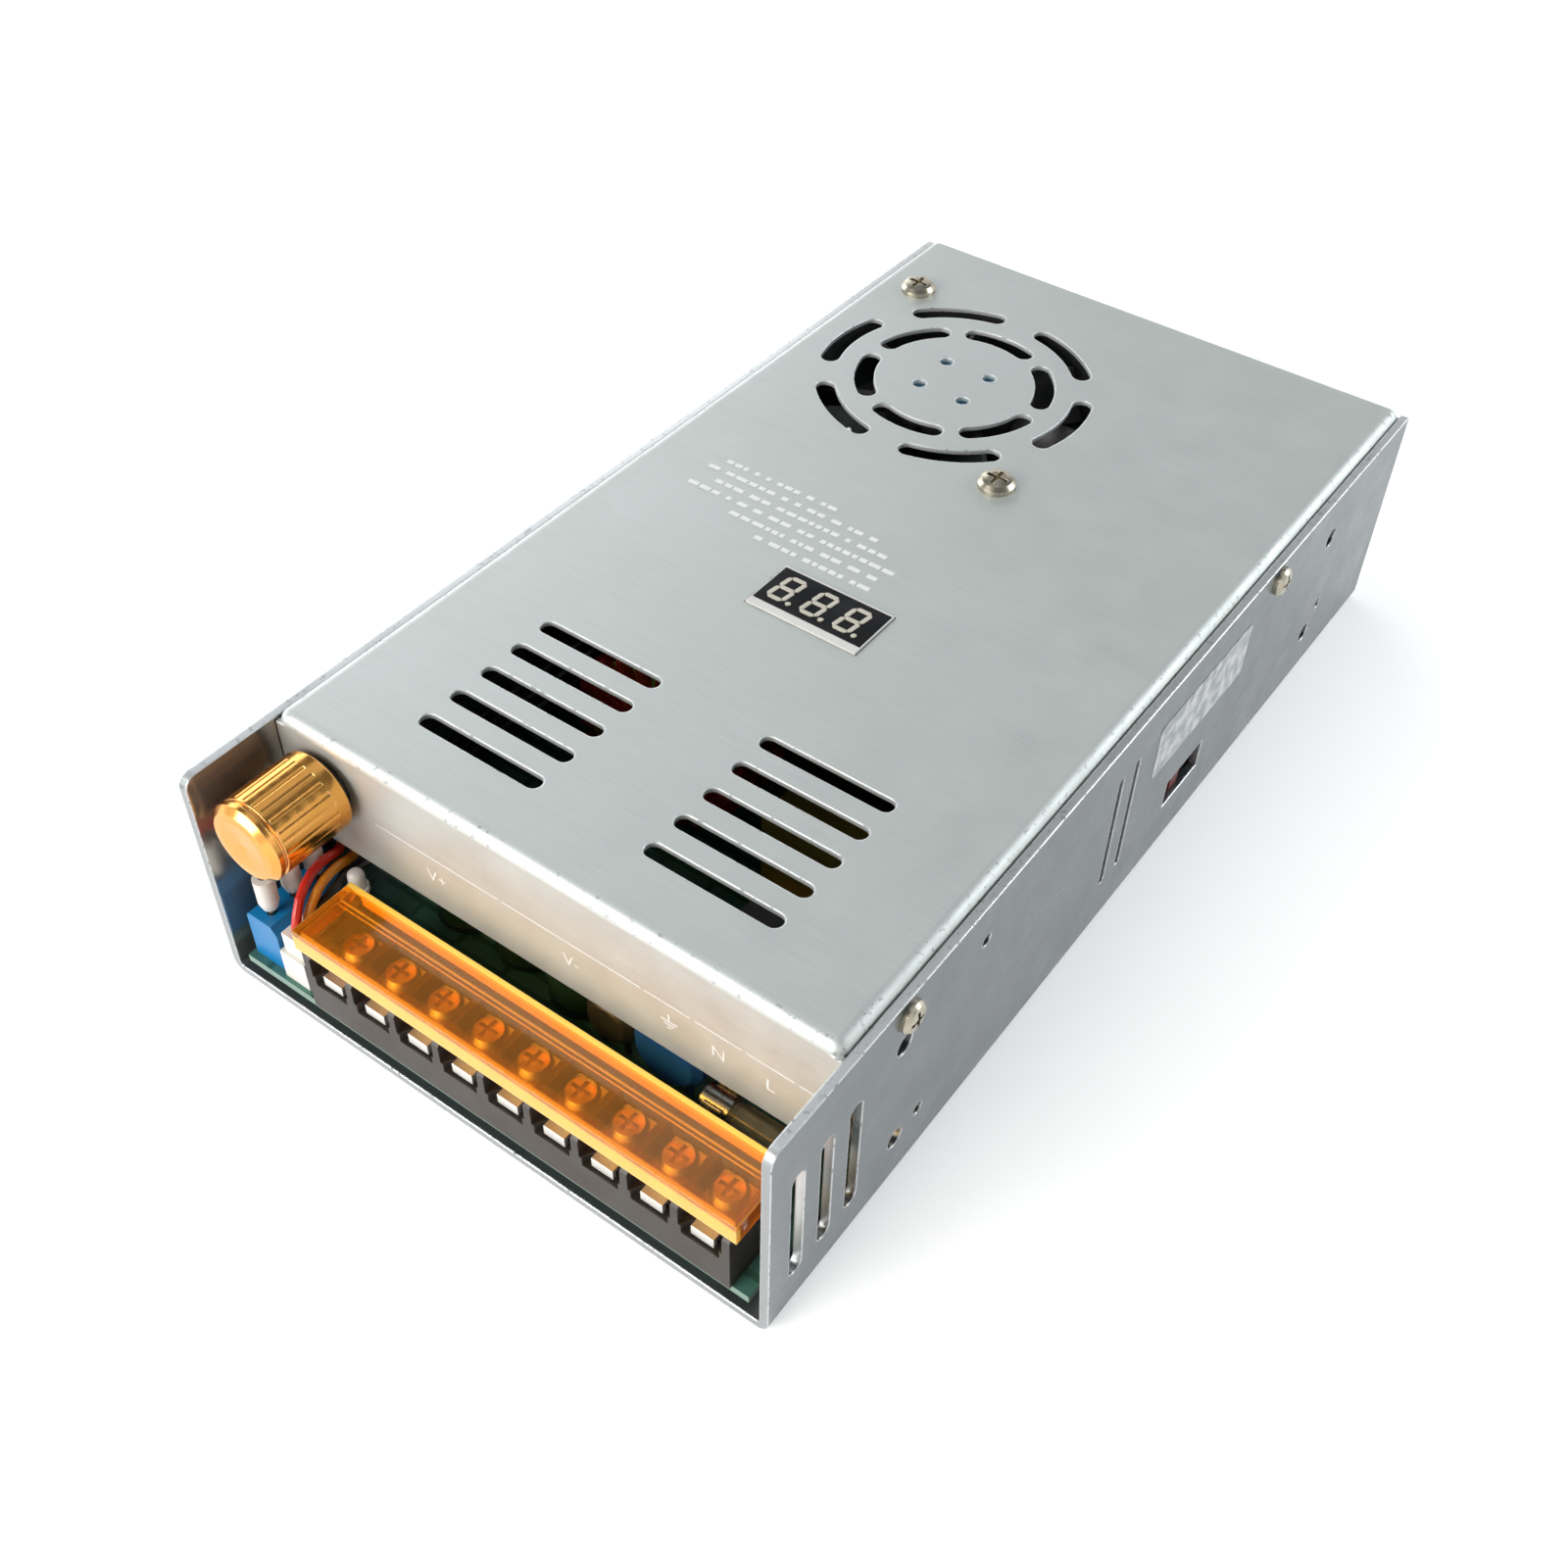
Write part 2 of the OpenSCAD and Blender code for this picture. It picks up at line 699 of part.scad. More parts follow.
module rounded(w, l, r) {
    square([w - 2 * r, l], center = true);
    square([w, l - 2 * r], center = true);
    for (x = [-1, 1], y = [-1, 1]) {
        translate([x * (w / 2 - r), y * (l / 2 - r)]) circle(r);
    }
}

// Quarter ring in the first quadrant, the section of a sheet fold
module fold(r_in, t) {
    intersection() {
        difference() {
            circle(r_in + t);
            circle(r_in);
        }
        square(r_in + t);
    }
}

// Extrudes a shape drawn across the case and up it, from y0 to y1
module along_y(y0, y1) {
    translate([0, y1, 0]) rotate([90, 0, 0]) linear_extrude(y1 - y0) children();
}

// Extrudes a shape drawn along the case and up it, from x0 to x1
module along_x(x0, x1) {
    translate([x0, 0, 0]) rotate([90, 0, 90]) linear_extrude(x1 - x0) children();
}

// Slot cutter through the cover's top that bends round the fan's axis
module arc_slot(r, w, half, z0, h) {
    translate([0, 0, z0]) {
        rotate([0, 0, -half]) rotate_extrude(angle = 2 * half) translate([r - w / 2, 0]) square([w, h]);
        for (s = [-1, 1]) {
            rotate([0, 0, s * half]) translate([r, 0, 0]) cylinder(d = w, h = h);
        }
    }
}

// Pan head screw with its head on +Z, seated at z = 0
module pan_screw(head_d, head_h, shank_d, shank_l) {
    difference() {
        rotate_extrude() polygon([
            [0, -shank_l], [shank_d / 2, -shank_l], [shank_d / 2, 0], [head_d / 2, 0],
            [head_d / 2, head_h * 0.45], [head_d * 0.4, head_h * 0.85], [head_d * 0.22, head_h], [0, head_h]
        ]);
        for (a = [0, 90]) {
            rotate([0, 0, a]) translate([-head_d * 0.3, -head_d * 0.06, head_h * 0.4])
                cube([head_d * 0.6, head_d * 0.12, head_h]);
        }
    }
}

// Smooth route through hand-placed points, and a round tube swept along it
function curve(a, b, c, d, t) =
    0.5 * (2 * b + (c - a) * t + (2 * a - 5 * b + 4 * c - d) * t * t + (3 * b - a - 3 * c + d) * t * t * t);
function route(p, n) = [
    for (i = [0 : len(p) - 2], k = [0 : n - 1])
        curve(p[max(i - 1, 0)], p[i], p[i + 1], p[min(i + 2, len(p) - 1)], k / n),
    p[len(p) - 1]
];
function unit(v) = v / norm(v);
function tangent(p, i) = unit(p[min(i + 1, len(p) - 1)] - p[max(i - 1, 0)]);

module lead(points, d, side, n = 2, sides = 8) {
    p = route(points, n);
    rings = len(p);
    verts = [
        for (i = [0 : rings - 1])
            let (t = tangent(p, i), u = unit(cross(t, side)), v = cross(t, u))
                for (k = [0 : sides - 1])
                    p[i] + d / 2 * (cos(360 * k / sides) * u + sin(360 * k / sides) * v)
    ];
    walls = [
        for (i = [0 : rings - 2], k = [0 : sides - 1])
            let (a = i * sides + k, b = i * sides + (k + 1) % sides)
                each [[b, a, a + sides], [b + sides, b, a + sides]]
    ];
    foot = [for (k = [0 : sides - 1]) k];
    head = [for (k = [sides - 1 : -1 : 0]) (rings - 1) * sides + k];
    polyhedron(verts, concat([foot], walls, [head]), convexity = 6);
}

// Sleeved capacitor can with its bead near the foot and a scored top
module can(d, h) {
    bead = d * 0.03;
    rotate_extrude() polygon([
        [0, 0], [d * 0.44, 0], [d / 2, d * 0.06], [d / 2, d * 0.16], [d / 2 - bead, d * 0.2],
        [d / 2, d * 0.24], [d / 2, h - d * 0.05], [d * 0.45, h], [d * 0.38, h],
        [d * 0.37, h - d * 0.03], [0, h - d * 0.03]
    ]);
}

// Case

// Floor and two walls folded from one aluminium sheet
module base_chassis() {
    r = chassis_bend + chassis_t;
    color("silver") difference() {
        along_y(front_y, rear_y) {
            translate([-case_w / 2 + r, 0]) square([case_w - 2 * r, chassis_t]);
            for (s = [0, 1]) mirror([s, 0]) {
                translate([wall_x, r]) square([chassis_t, wall_z - r]);
                translate([case_w / 2 - r, r]) mirror([0, 1]) fold(chassis_bend, chassis_t);
            }
        }
        along_x(-case_w, case_w) translate([front_y, wall_z]) difference() {
            translate([-cut, -wall_corner]) square([wall_corner + cut, wall_corner + cut]);
            translate([wall_corner, -wall_corner]) circle(wall_corner);
        }
        for (x = [-1, 1], y = [-1, 1]) {
            translate([x * base_pitch_x / 2, y * mount_pitch_y / 2, -cut])
                cylinder(d = mount_hole_d, h = chassis_t + 2 * cut);
        }
        for (y = [-1, 1] * mount_pitch_y / 2, z = side_hole_zs) {
            translate([-case_w, y, z]) rotate([0, 90, 0]) cylinder(d = mount_hole_d, h = 2 * case_w);
        }
        for (y = [screw_y_front, screw_y_rear]) {
            translate([-case_w, y, screw_z]) rotate([0, 90, 0])
                cylinder(d = screw_d + 2 * screw_fit, h = 2 * case_w);
        }
        for (i = [0 : 2]) {
            along_x(wall_x - cut, case_w)
                translate([front_y + side_slot_start + i * side_slot_pitch, side_slot_z])
                rotate(90) stadium(side_slot_l, side_slot_w);
        }
        for (s = [-1, 1]) {
            along_x(wall_x - cut, case_w) translate([slit_y + s * slit_pitch / 2, slit_z])
                rotate(90) stadium(slit_l, slit_w);
        }
        for (p = pilot_holes) {
            translate([wall_x - cut, p[0], p[1]]) rotate([0, 90, 0]) cylinder(d = pilot_d, h = case_w);
        }
        along_x(wall_x - cut, case_w)
            translate([selector_y, selector_z]) square([window_l, window_h], center = true);
    }
}

// Top, front lip, side flanges and rear wall folded from one sheet
module top_cover() {
    inner = cover_w / 2 - cover_r;
    through = cover_t + 2 * cut;
    color("gainsboro") difference() {
        union() {
            along_y(lip_y + cover_r, cover_rear_y - cover_r) {
                translate([-inner, top_z]) square([2 * inner, cover_t]);
                for (s = [0, 1]) mirror([s, 0]) {
                    translate([inner, case_h - cover_r]) fold(cover_bend, cover_t);
                    translate([cover_w / 2 - cover_t, case_h - flange_drop])
                        square([cover_t, flange_drop - cover_r]);
                }
            }
            along_x(-inner, inner) {
                translate([lip_y + cover_r, top_z]) square([cover_rear_y - lip_y - 2 * cover_r, cover_t]);
                translate([lip_y + cover_r, case_h - cover_r]) mirror([1, 0]) fold(cover_bend, cover_t);
                translate([cover_rear_y - cover_r, case_h - cover_r]) fold(cover_bend, cover_t);
            }
            along_x(-cover_w / 2, cover_w / 2) {
                translate([lip_y, lip_z]) square([cover_t, lip_drop - cover_r]);
                translate([cover_rear_y - cover_t, chassis_t + fit_gap])
                    square([cover_t, case_h - cover_r - chassis_t - fit_gap]);
            }
            for (a = [0 : 90 : 270]) {
                y = a < 180 ? cover_rear_y - cover_r : lip_y + cover_r;
                translate([sign(cos(a + 45)) * inner, y, case_h - cover_r]) rotate([0, 0, a])
                    rotate_extrude(angle = 90) fold(cover_bend, cover_t);
            }
        }
        for (s = [-1, 1], i = [0 : top_slot_n - 1]) {
            translate([s * top_slot_span / 2, lip_y + top_slot_start + i * top_slot_pitch, top_z - cut])
                linear_extrude(through) stadium(top_slot_l, top_slot_w);
        }
        translate([fan_x, fan_y, 0]) {
            for (i = [0 : 5]) {
                rotate([0, 0, 60 * i]) arc_slot(grille_r_out, grille_w, grille_half_out, top_z - cut, through);
                rotate([0, 0, 60 * i + 30])
                    arc_slot(grille_r_in, grille_w, grille_half_in, top_z - cut, through);
            }
            for (a = [45 : 90 : 315]) {
                rotate([0, 0, a]) translate([hub_hole_r, 0, top_z - cut]) cylinder(d = hub_hole_d, h = through);
            }
            for (p = fan_screw_at) {
                translate([p[0] * fan_pitch / 2, p[1] * fan_pitch / 2, top_z - cut])
                    cylinder(d = fan_screw_d + 2 * screw_fit, h = through);
            }
        }
        translate([meter_x - meter_w / 2 - fit_gap, meter_y0 - fit_gap, top_z - cut])
            cube([meter_w + 2 * fit_gap, meter_depth + 2 * fit_gap, through]);
        for (y = [screw_y_front, screw_y_rear]) {
            translate([-case_w, y, screw_z]) rotate([0, 90, 0]) cylinder(d = screw_tap, h = 2 * case_w);
        }
        translate([knob_x, lip_y - cut, knob_z]) rotate([-90, 0, 0])
            cylinder(d = bush_d + 2 * screw_fit, h = through);
        for (i = [0 : rear_slot_n - 1]) {
            along_y(cover_rear_y - cover_t - cut, cover_rear_y + cut)
                translate([(i - (rear_slot_n - 1) / 2) * rear_slot_pitch, case_h / 2])
                rotate(90) stadium(rear_slot_l, rear_slot_w);
        }
    }
}

// Pan head screws that hold the cover's flanges to the walls
module cover_screws() {
    color("tan") for (s = [-1, 1], y = [screw_y_front, screw_y_rear]) {
        translate([s * case_w / 2, y, screw_z]) rotate([0, s * 90, 0])
            pan_screw(screw_head_d, screw_head_h, screw_d, screw_shank);
    }
}

// Fan

// Screws through the cover into two corners of the fan
module fan_screws() {
    color("tan") for (p = fan_screw_at) {
        translate([fan_x + p[0] * fan_pitch / 2, fan_y + p[1] * fan_pitch / 2, case_h])
            pan_screw(fan_head_d, fan_head_h, fan_screw_d, fan_screw_l);
    }
}

// Square moulding with a round duct, four struts and the motor plate
module fan_frame() {
    color("dimgray") translate([fan_x, fan_y, fan_z]) {
        difference() {
            union() {
                for (z = [0, fan_t - fan_flange_t]) {
                    translate([0, 0, z]) linear_extrude(fan_flange_t) rounded(fan_size, fan_size, fan_corner_r);
                }
                cylinder(d = fan_size - 2 * fan_waist, h = fan_t);
            }
            translate([0, 0, -cut]) cylinder(d = duct_d, h = fan_t + 2 * cut);
            for (x = [-1, 1], y = [-1, 1]) {
                translate([x * fan_pitch / 2, y * fan_pitch / 2, -cut])
                    cylinder(d = fan_screw_hole, h = fan_t + 2 * cut);
            }
        }
        difference() {
            union() {
                cylinder(d = hub_d, h = motor_t);
                intersection() {
                    for (a = [45, 135]) {
                        rotate([0, 0, a]) translate([-fan_size / 2, -strut_w / 2, 0])
                            cube([fan_size, strut_w, motor_t]);
                    }
                    cylinder(d = (duct_d + fan_size) / 2, h = motor_t);
                }
            }
            translate([0, 0, motor_t - shaft_recess]) cylinder(d = fan_shaft_d + 2 * hub_gap, h = motor_t);
        }
    }
}

// Wound stator with the bearing that carries the rotor's shaft
module fan_stator() {
    r = hub_d / 2 - hub_wall - hub_gap;
    h = fan_t - motor_t - hub_top - 2 * hub_gap;
    core_r = r * 0.42;
    pole_w = r * 0.8;
    pole_h = h * 0.7;
    color("peru") translate([fan_x, fan_y, fan_z + motor_t]) difference() {
        union() {
            cylinder(r = core_r, h = h);
            translate([0, 0, (h - pole_h) / 2]) for (a = [0 : 90 : 270]) {
                rotate([0, 0, a]) intersection() {
                    cylinder(r = r, h = pole_h);
                    translate([0, -pole_w / 2, 0]) cube([r, pole_w, pole_h]);
                }
            }
        }
        translate([0, 0, -cut]) cylinder(d = fan_shaft_d + 2 * run_fit, h = h + 2 * cut);
    }
}

// Hub cup, shaft and cambered blades moulded as one
module fan_rotor() {
    hub_h = fan_t - motor_t - hub_lift - hub_gap;
    tail_z = shaft_end_gap - hub_lift;
    mid = blade_start + blade_sweep / 2;
    centre = blade_camber * [sin(mid), cos(mid)];
    color("black") translate([fan_x, fan_y, fan_z + motor_t + hub_lift]) {
        rotate_extrude() polygon([
            [0, tail_z], [fan_shaft_d / 2, tail_z], [fan_shaft_d / 2, hub_h - hub_top],
            [hub_d / 2 - hub_wall, hub_h - hub_top], [hub_d / 2 - hub_wall, 0], [hub_d / 2, 0],
            [hub_d / 2, hub_h - hub_edge], [hub_d / 2 - hub_edge, hub_h], [0, hub_h]
        ]);
        intersection() {
            for (i = [0 : blade_n - 1]) {
                rotate([0, 0, 360 * i / blade_n])
                    translate([hub_d / 2 - blade_root, -centre[0], hub_h / 2 + centre[1]])
                    rotate([0, 90, 0]) rotate([0, 0, blade_start]) rotate_extrude(angle = blade_sweep)
                    translate([blade_camber, 0]) square([blade_t, duct_d / 2]);
            }
            cylinder(d = duct_d - 2 * blade_tip_gap, h = hub_h);
        }
    }
}

// Terminal strip

// Moulded base, partitions and end lugs with the lid's pegs
module terminal_block() {
    back = hinge_y - lug_r - move_gap;
    peg_l = move_gap + lid_t;
    color("black") difference() {
        union() {
            along_x(strip_x0, strip_x0 + strip_l) polygon([
                [front_y, deck_z], [strip_y1, deck_z], [strip_y1, bay_z - back_low],
                [back + shelf_l, bay_z + shelf_rise], [back, bay_z + shelf_rise], [back, bay_z],
                [front_y, bay_z]
            ]);
            for (i = [0 : way_n]) {
                along_x(strip_x0 + i * way_pitch, strip_x0 + i * way_pitch + rib_t) polygon([
                    [front_y, deck_z], [back, deck_z], [back, rib_z], [front_y + rib_chamfer, rib_z],
                    [front_y, rib_z - rib_chamfer]
                ]);
            }
            for (s = [0, 1]) {
                x = strip_x0 + s * (strip_l - rib_t);
                along_x(x, x + rib_t) {
                    translate([hinge_y - lug_r, bay_z]) square([2 * lug_r, hinge_z - bay_z]);
                    translate([hinge_y, hinge_z]) circle(lug_r);
                    translate([hinge_y - lug_r - cut, bay_z]) square([cut + lug_r, rib_z - bay_z - cut]);
                }
                along_x(s == 0 ? x - peg_l : x + rib_t, s == 0 ? x : x + rib_t + peg_l)
                    translate([hinge_y, hinge_z]) circle(d = peg_d);
            }
        }
        for (x = way_x) {
            translate([x, term_y, bay_z - term_well])
                cylinder(d = term_screw_d + 2 * screw_fit, h = term_well + cut);
            translate([x, front_y - scoop_out, scoop_z]) cylinder(r = scoop_r, h = bay_floor);
        }
    }
}

// Tinned plate of each way, with a narrow wire nose turned down at the front
module terminal_plates() {
    color("whitesmoke") for (x = way_x) {
        translate([x - nose_w / 2, front_y + nose_in, bay_z - nose_turn])
            cube([nose_w, plate_t, nose_turn + plate_t]);
        translate([x, 0, bay_z]) linear_extrude(plate_t) difference() {
            union() {
                translate([0, term_y]) square(clamp_w, center = true);
                translate([-nose_w / 2, front_y + nose_in]) square([nose_w, term_screw_in - nose_in]);
            }
            translate([0, term_y]) circle(d = term_screw_d + 2 * run_fit);
        }
    }
}

// Square captive washers under the terminal screws
module terminal_clamps() {
    color("lightgray") for (x = way_x) {
        translate([x, term_y, bay_z + plate_t]) difference() {
            linear_extrude(clamp_t) rounded(clamp_w, clamp_w, clamp_corner);
            translate([0, 0, -cut]) cylinder(d = term_screw_d + 2 * run_fit, h = clamp_t + 2 * cut);
        }
    }
}

module terminal_screws() {
    color("lightgray") for (x = way_x) {
        translate([x, term_y, bay_z + plate_t + clamp_t])
            pan_screw(term_head_d, term_head_h, term_screw_d, plate_t + clamp_t + term_thread);
    }
}

// Amber tray that swings up on the strip's pegs
module terminal_lid() {
    notch = rib_t + 3 * move_gap;
    color("orange", 0.6) difference() {
        union() {
            translate([lid_x0, front_y, lid_z1 - lid_t]) cube([lid_l, lid_depth, lid_t]);
            translate([lid_x0, front_y, lid_z0]) cube([lid_l, lid_t, lid_h]);
            translate([lid_x0 + lid_t + notch, lid_rear_y - lid_t, lid_z0])
                cube([lid_l - 2 * (lid_t + notch), lid_t, lid_h]);
            translate([lid_x0, lid_rear_y - lid_rib_in, lid_z1 - lid_t - lid_rib_h])
                cube([lid_l, lid_rib_w, lid_t]);
            for (x = [lid_x0, lid_x0 + lid_l - lid_t]) {
                along_x(x, x + lid_t) {
                    translate([front_y, lid_z0]) square([lid_depth - ear_r, lid_h]);
                    translate([hinge_y - ear_r, hinge_z]) square([ear_r + lid_t / 2, lid_z1 - hinge_z]);
                    translate([hinge_y, hinge_z]) circle(ear_r);
                }
            }
        }
        along_x(lid_x0 - cut, lid_x0 + lid_l + cut) translate([hinge_y, hinge_z]) circle(peg_d / 2 + run_fit);
    }
}

// Circuit board and what carries it

module circuit_board() {
    color("seagreen") difference() {
        translate([-board_w / 2, board_y0, board_z]) cube([board_w, board_y1 - board_y0, board_t]);
        for (x = [-1, 1] * stand_x, y = stand_ys) {
            translate([x, y, board_z - cut]) cylinder(d = board_screw_d + 2 * screw_fit, h = board_t + 2 * cut);
        }
    }
}

// Plastic film that keeps the solder side off the chassis
module insulating_film() {
    color("ivory") translate([0, 0, chassis_t]) linear_extrude(film_t) difference() {
        translate([-film_w / 2, board_y0 + film_edge]) square([film_w, board_y1 - board_y0 - 2 * film_edge]);
        for (x = [-1, 1] * base_pitch_x / 2, y = [-1, 1] * mount_pitch_y / 2) {
            translate([x, y]) circle(d = 2 * mount_hole_d);
        }
    }
}

module board_standoffs() {
    color("darkgray") for (x = [-1, 1] * stand_x, y = stand_ys) {
        translate([x, y, chassis_t]) difference() {
            cylinder(d = standoff_d, h = standoff_h);
            translate([0, 0, stand_floor]) cylinder(d = board_screw_d + 2 * run_fit, h = standoff_h);
        }
    }
}

module board_screws() {
    color("darkgray") for (x = [-1, 1] * stand_x, y = stand_ys) {
        translate([x, y, deck_z]) pan_screw(board_head_d, board_head_h, board_screw_d, board_t + board_thread);
    }
}

// Knob and potentiometer

// Turns a shape built along +Z so that it runs back from the knob's front on the knob's axis
module on_knob_axis(y) {
    translate([knob_x, y, knob_z]) rotate([-90, 0, 0]) children();
}

// Round case with the threaded bushing through the lip and three lugs
module pot_body() {
    foot_z = knob_z - pot_d / 2 - lug_l;
    color("darkkhaki") difference() {
        union() {
            on_knob_axis(lip_y + cover_t) cylinder(d = pot_d, h = pot_l);
            on_knob_axis(lip_y - bush_out) cylinder(d = bush_d, h = bush_out + cover_t + bush_root);
            for (i = [-1 : 1]) {
                translate([knob_x + i * lug_pitch - lug_w / 2, lip_y + cover_t + lug_in, foot_z])
                    cube([lug_w, lug_t, lug_l + pot_d / 3]);
            }
        }
        on_knob_axis(lip_y - bush_out - cut)
            cylinder(d = shaft_d + 2 * run_fit, h = bush_out + cut + shaft_in + shaft_gap);
    }
}

module pot_shaft() {
    y = knob_y0 + knob_face_t + shaft_gap;
    color("gainsboro") on_knob_axis(y) cylinder(d = shaft_d, h = lip_y + shaft_in - y);
}

// Hexagon nut and washer that clamp the bushing to the lip
module pot_nut() {
    color("silver") {
        on_knob_axis(lip_y - washer_t - nut_seat - nut_t) difference() {
            cylinder(d = nut_af / cos(30), h = nut_t, $fn = 6);
            translate([0, 0, -cut]) cylinder(d = bush_d + 2 * run_fit, h = nut_t + 2 * cut);
        }
        on_knob_axis(lip_y - washer_t) difference() {
            cylinder(d = nut_af + 2 * washer_past, h = washer_t);
            translate([0, 0, -cut]) cylinder(d = bush_d + 2 * run_fit, h = washer_t + 2 * cut);
        }
    }
}

// Turned aluminium knob: smooth collars at both ends, flutes between, a recess over the nut
module control_knob() {
    r = knob_d / 2;
    waist = r - knob_groove;
    grip_l = knob_l - 2 * collar_l;
    flute_r = PI * r / flute_n * 1.1;
    color("goldenrod") on_knob_axis(knob_y0) difference() {
        rotate_extrude() polygon([
            [0, knob_dish], [r - knob_chamfer - knob_land, 0], [r - knob_chamfer, knob_rim], [r, knob_chamfer],
            [r, collar_l - groove_w - groove_slope], [waist, collar_l - groove_w], [waist, collar_l],
            [r, collar_l + groove_slope], [r, knob_l - knob_edge], [r - knob_edge, knob_l], [0, knob_l]
        ]);
        for (i = [0 : flute_n - 1]) {
            rotate([0, 0, 360 * (i + 0.5) / flute_n])
                translate([r - flute_depth + flute_r, 0, collar_l + flute_start])
                cylinder(r = flute_r, h = grip_l - flute_start);
        }
        translate([0, 0, knob_face_t]) cylinder(d = shaft_d + 2 * run_fit, h = knob_l);
        translate([0, 0, knob_l - recess_l]) cylinder(d = recess_d, h = recess_l + cut);
        translate([0, 0, knob_l / 2]) rotate([-90, 0, 0]) cylinder(d = set_screw_d + 2 * run_fit, h = knob_d);
    }
}

// Socket set screw in the underside of the knob
module knob_set_screw() {
    l = (knob_d - shaft_d) / 2 - set_screw_gap;
    z = knob_z - shaft_d / 2 - run_fit - l;
    color("dimgray") translate([knob_x, knob_y0 + knob_l / 2, z]) difference() {
        cylinder(d = set_screw_d, h = l);
        translate([0, 0, -cut]) cylinder(d = set_screw_d / 2, h = cut + hex_depth, $fn = 6);
    }
}

// Front left corner

// White plug in its shrouded header
module pot_plug() {
    color("white") translate([plug_x1 - plug_w, plug_y0, deck_z]) difference() {
        union() {
            cube([plug_w, plug_l, shroud_h]);
            translate([shroud_t, shroud_t, 0]) cube([plug_w - 2 * shroud_t, plug_l - 2 * shroud_t, plug_h]);
            translate([shroud_t, key_y, 0]) cube([plug_w - shroud_t, key_l, key_h]);
        }
        translate([plug_w - latch_t, latch_y, latch_z]) cube([latch_t + cut, plug_l - 2 * latch_y, plug_h]);
    }
}

module pot_lead_red() { color("red") lead(pot_routes[0], wire_d, lead_side); }
module pot_lead_yellow() { color("gold") lead(pot_routes[1], wire_d, lead_side); }
module pot_lead_black() { color("black") lead(pot_routes[2], wire_d, lead_side); }

// Blue three-way terminal that takes the meter's leads from above
module meter_terminal() {
    half = blue_w / 2;
    color("dodgerblue") difference() {
        translate([blue_x, 0, 0]) along_y(blue_y0, blue_y0 + blue_l) polygon([
            [-half, deck_z], [half, deck_z], [half, blue_z - blue_slope[1]], [half - blue_slope[0], blue_z],
            [blue_edge - half, blue_z], [-half, blue_z - blue_edge]
        ]);
        for (y = blue_ys) {
            translate([blue_x, y, blue_z - tip_in - tip_end_gap])
                cylinder(d = tip_d + 2 * screw_fit, h = tip_in + tip_end_gap + cut);
            translate([blue_x + half - blue_port[0], y - blue_port[1] / 2, blue_port_z])
                cube(blue_port + [cut, 0, 0]);
        }
    }
}

module meter_leads() {
    color("black") for (p = meter_routes) lead(p, wire_d, lead_side);
}

// White collars crimped on the ends of the meter's leads
module meter_ferrules() {
    color("white") for (y = blue_ys) {
        translate([blue_x, y, collar_z]) rotate_extrude() polygon([
            [0, 0], [collar_foot * collar_d / 2, 0], [collar_d / 2, collar_cone], [collar_d / 2, collar_h],
            [0, collar_h]
        ]);
    }
}

// Bare metal ends of the ferrules, down in the terminal
module ferrule_tips() {
    color("chocolate") for (y = blue_ys) {
        translate([blue_x, y, blue_z - tip_in]) cylinder(d = tip_d, h = tip_in + tip_free);
    }
}

// Round lamp on two legs
module power_lamp() {
    dome_z = lamp_z + lamp_flange[1] + lamp_body;
    color("mintcream") translate([lamp_x, lamp_y, 0]) {
        translate([0, 0, lamp_z]) cylinder(d = lamp_d + 2 * lamp_flange[0], h = lamp_flange[1]);
        translate([0, 0, lamp_z]) cylinder(d = lamp_d, h = lamp_flange[1] + lamp_body);
        translate([0, 0, dome_z]) intersection() {
            sphere(d = lamp_d);
            cylinder(d = lamp_d, h = lamp_d);
        }
        for (s = [-1, 1]) {
            translate([(s * lamp_leg_pitch - lamp_leg) / 2, -lamp_leg / 2, deck_z])
                cube([lamp_leg, lamp_leg, lamp_z - deck_z + lamp_leg]);
        }
    }
}

// Meter

module meter_housing() {
    color("white") difference() {
        translate([meter_x - meter_w / 2, meter_y0, meter_top - meter_h]) cube([meter_w, meter_depth, meter_h]);
        translate([meter_x - meter_w / 2 + side_edge, meter_y, meter_top - face_t])
            cube([meter_w - 2 * side_edge, face_depth, face_t + cut]);
    }
}

module meter_face() {
    color("black") translate([meter_x - meter_w / 2 + side_edge, meter_y, meter_top - face_t])
        cube([meter_w - 2 * side_edge, face_depth, face_t]);
}

// One segment lying along X, pointed at both ends
module segment(l) {
    polygon([
        [-l / 2, 0], [-l / 2 + seg_w / 2, seg_w / 2], [l / 2 - seg_w / 2, seg_w / 2], [l / 2, 0],
        [l / 2 - seg_w / 2, -seg_w / 2], [-l / 2 + seg_w / 2, -seg_w / 2]
    ]);
}

// Seven segments and a point for each digit, leaning as such displays do
module meter_digits() {
    arm = (digit_h - seg_w) / 2;
    lean = [[1, digit_slant, 0, 0], [0, 1, 0, 0], [0, 0, 1, 0], [0, 0, 0, 1]];
    x0 = meter_x + digit_shift - (digit_n - 1) / 2 * digit_pitch;
    color("lightgray") for (i = [0 : digit_n - 1]) {
        translate([x0 + i * digit_pitch, meter_y + face_depth / 2, meter_top])
            linear_extrude(digit_t) multmatrix(lean) {
                for (y = [-arm, 0, arm]) translate([0, y]) segment(digit_w - seg_w - seg_gap);
                for (x = [-1, 1] * (digit_w - seg_w) / 2, y = [-1, 1] * arm / 2) {
                    translate([x, y]) rotate(90) segment(arm - seg_gap);
                }
                translate([digit_w / 2 + point_in, -arm]) circle(d = point_d);
            }
    }
}

module meter_board() {
    color("seagreen") translate([meter_x - meter_w / 2, meter_y0 - meter_board_edge, meter_board_z])
        cube([meter_w, meter_depth + 2 * meter_board_edge, meter_board_t]);
}

// Selector

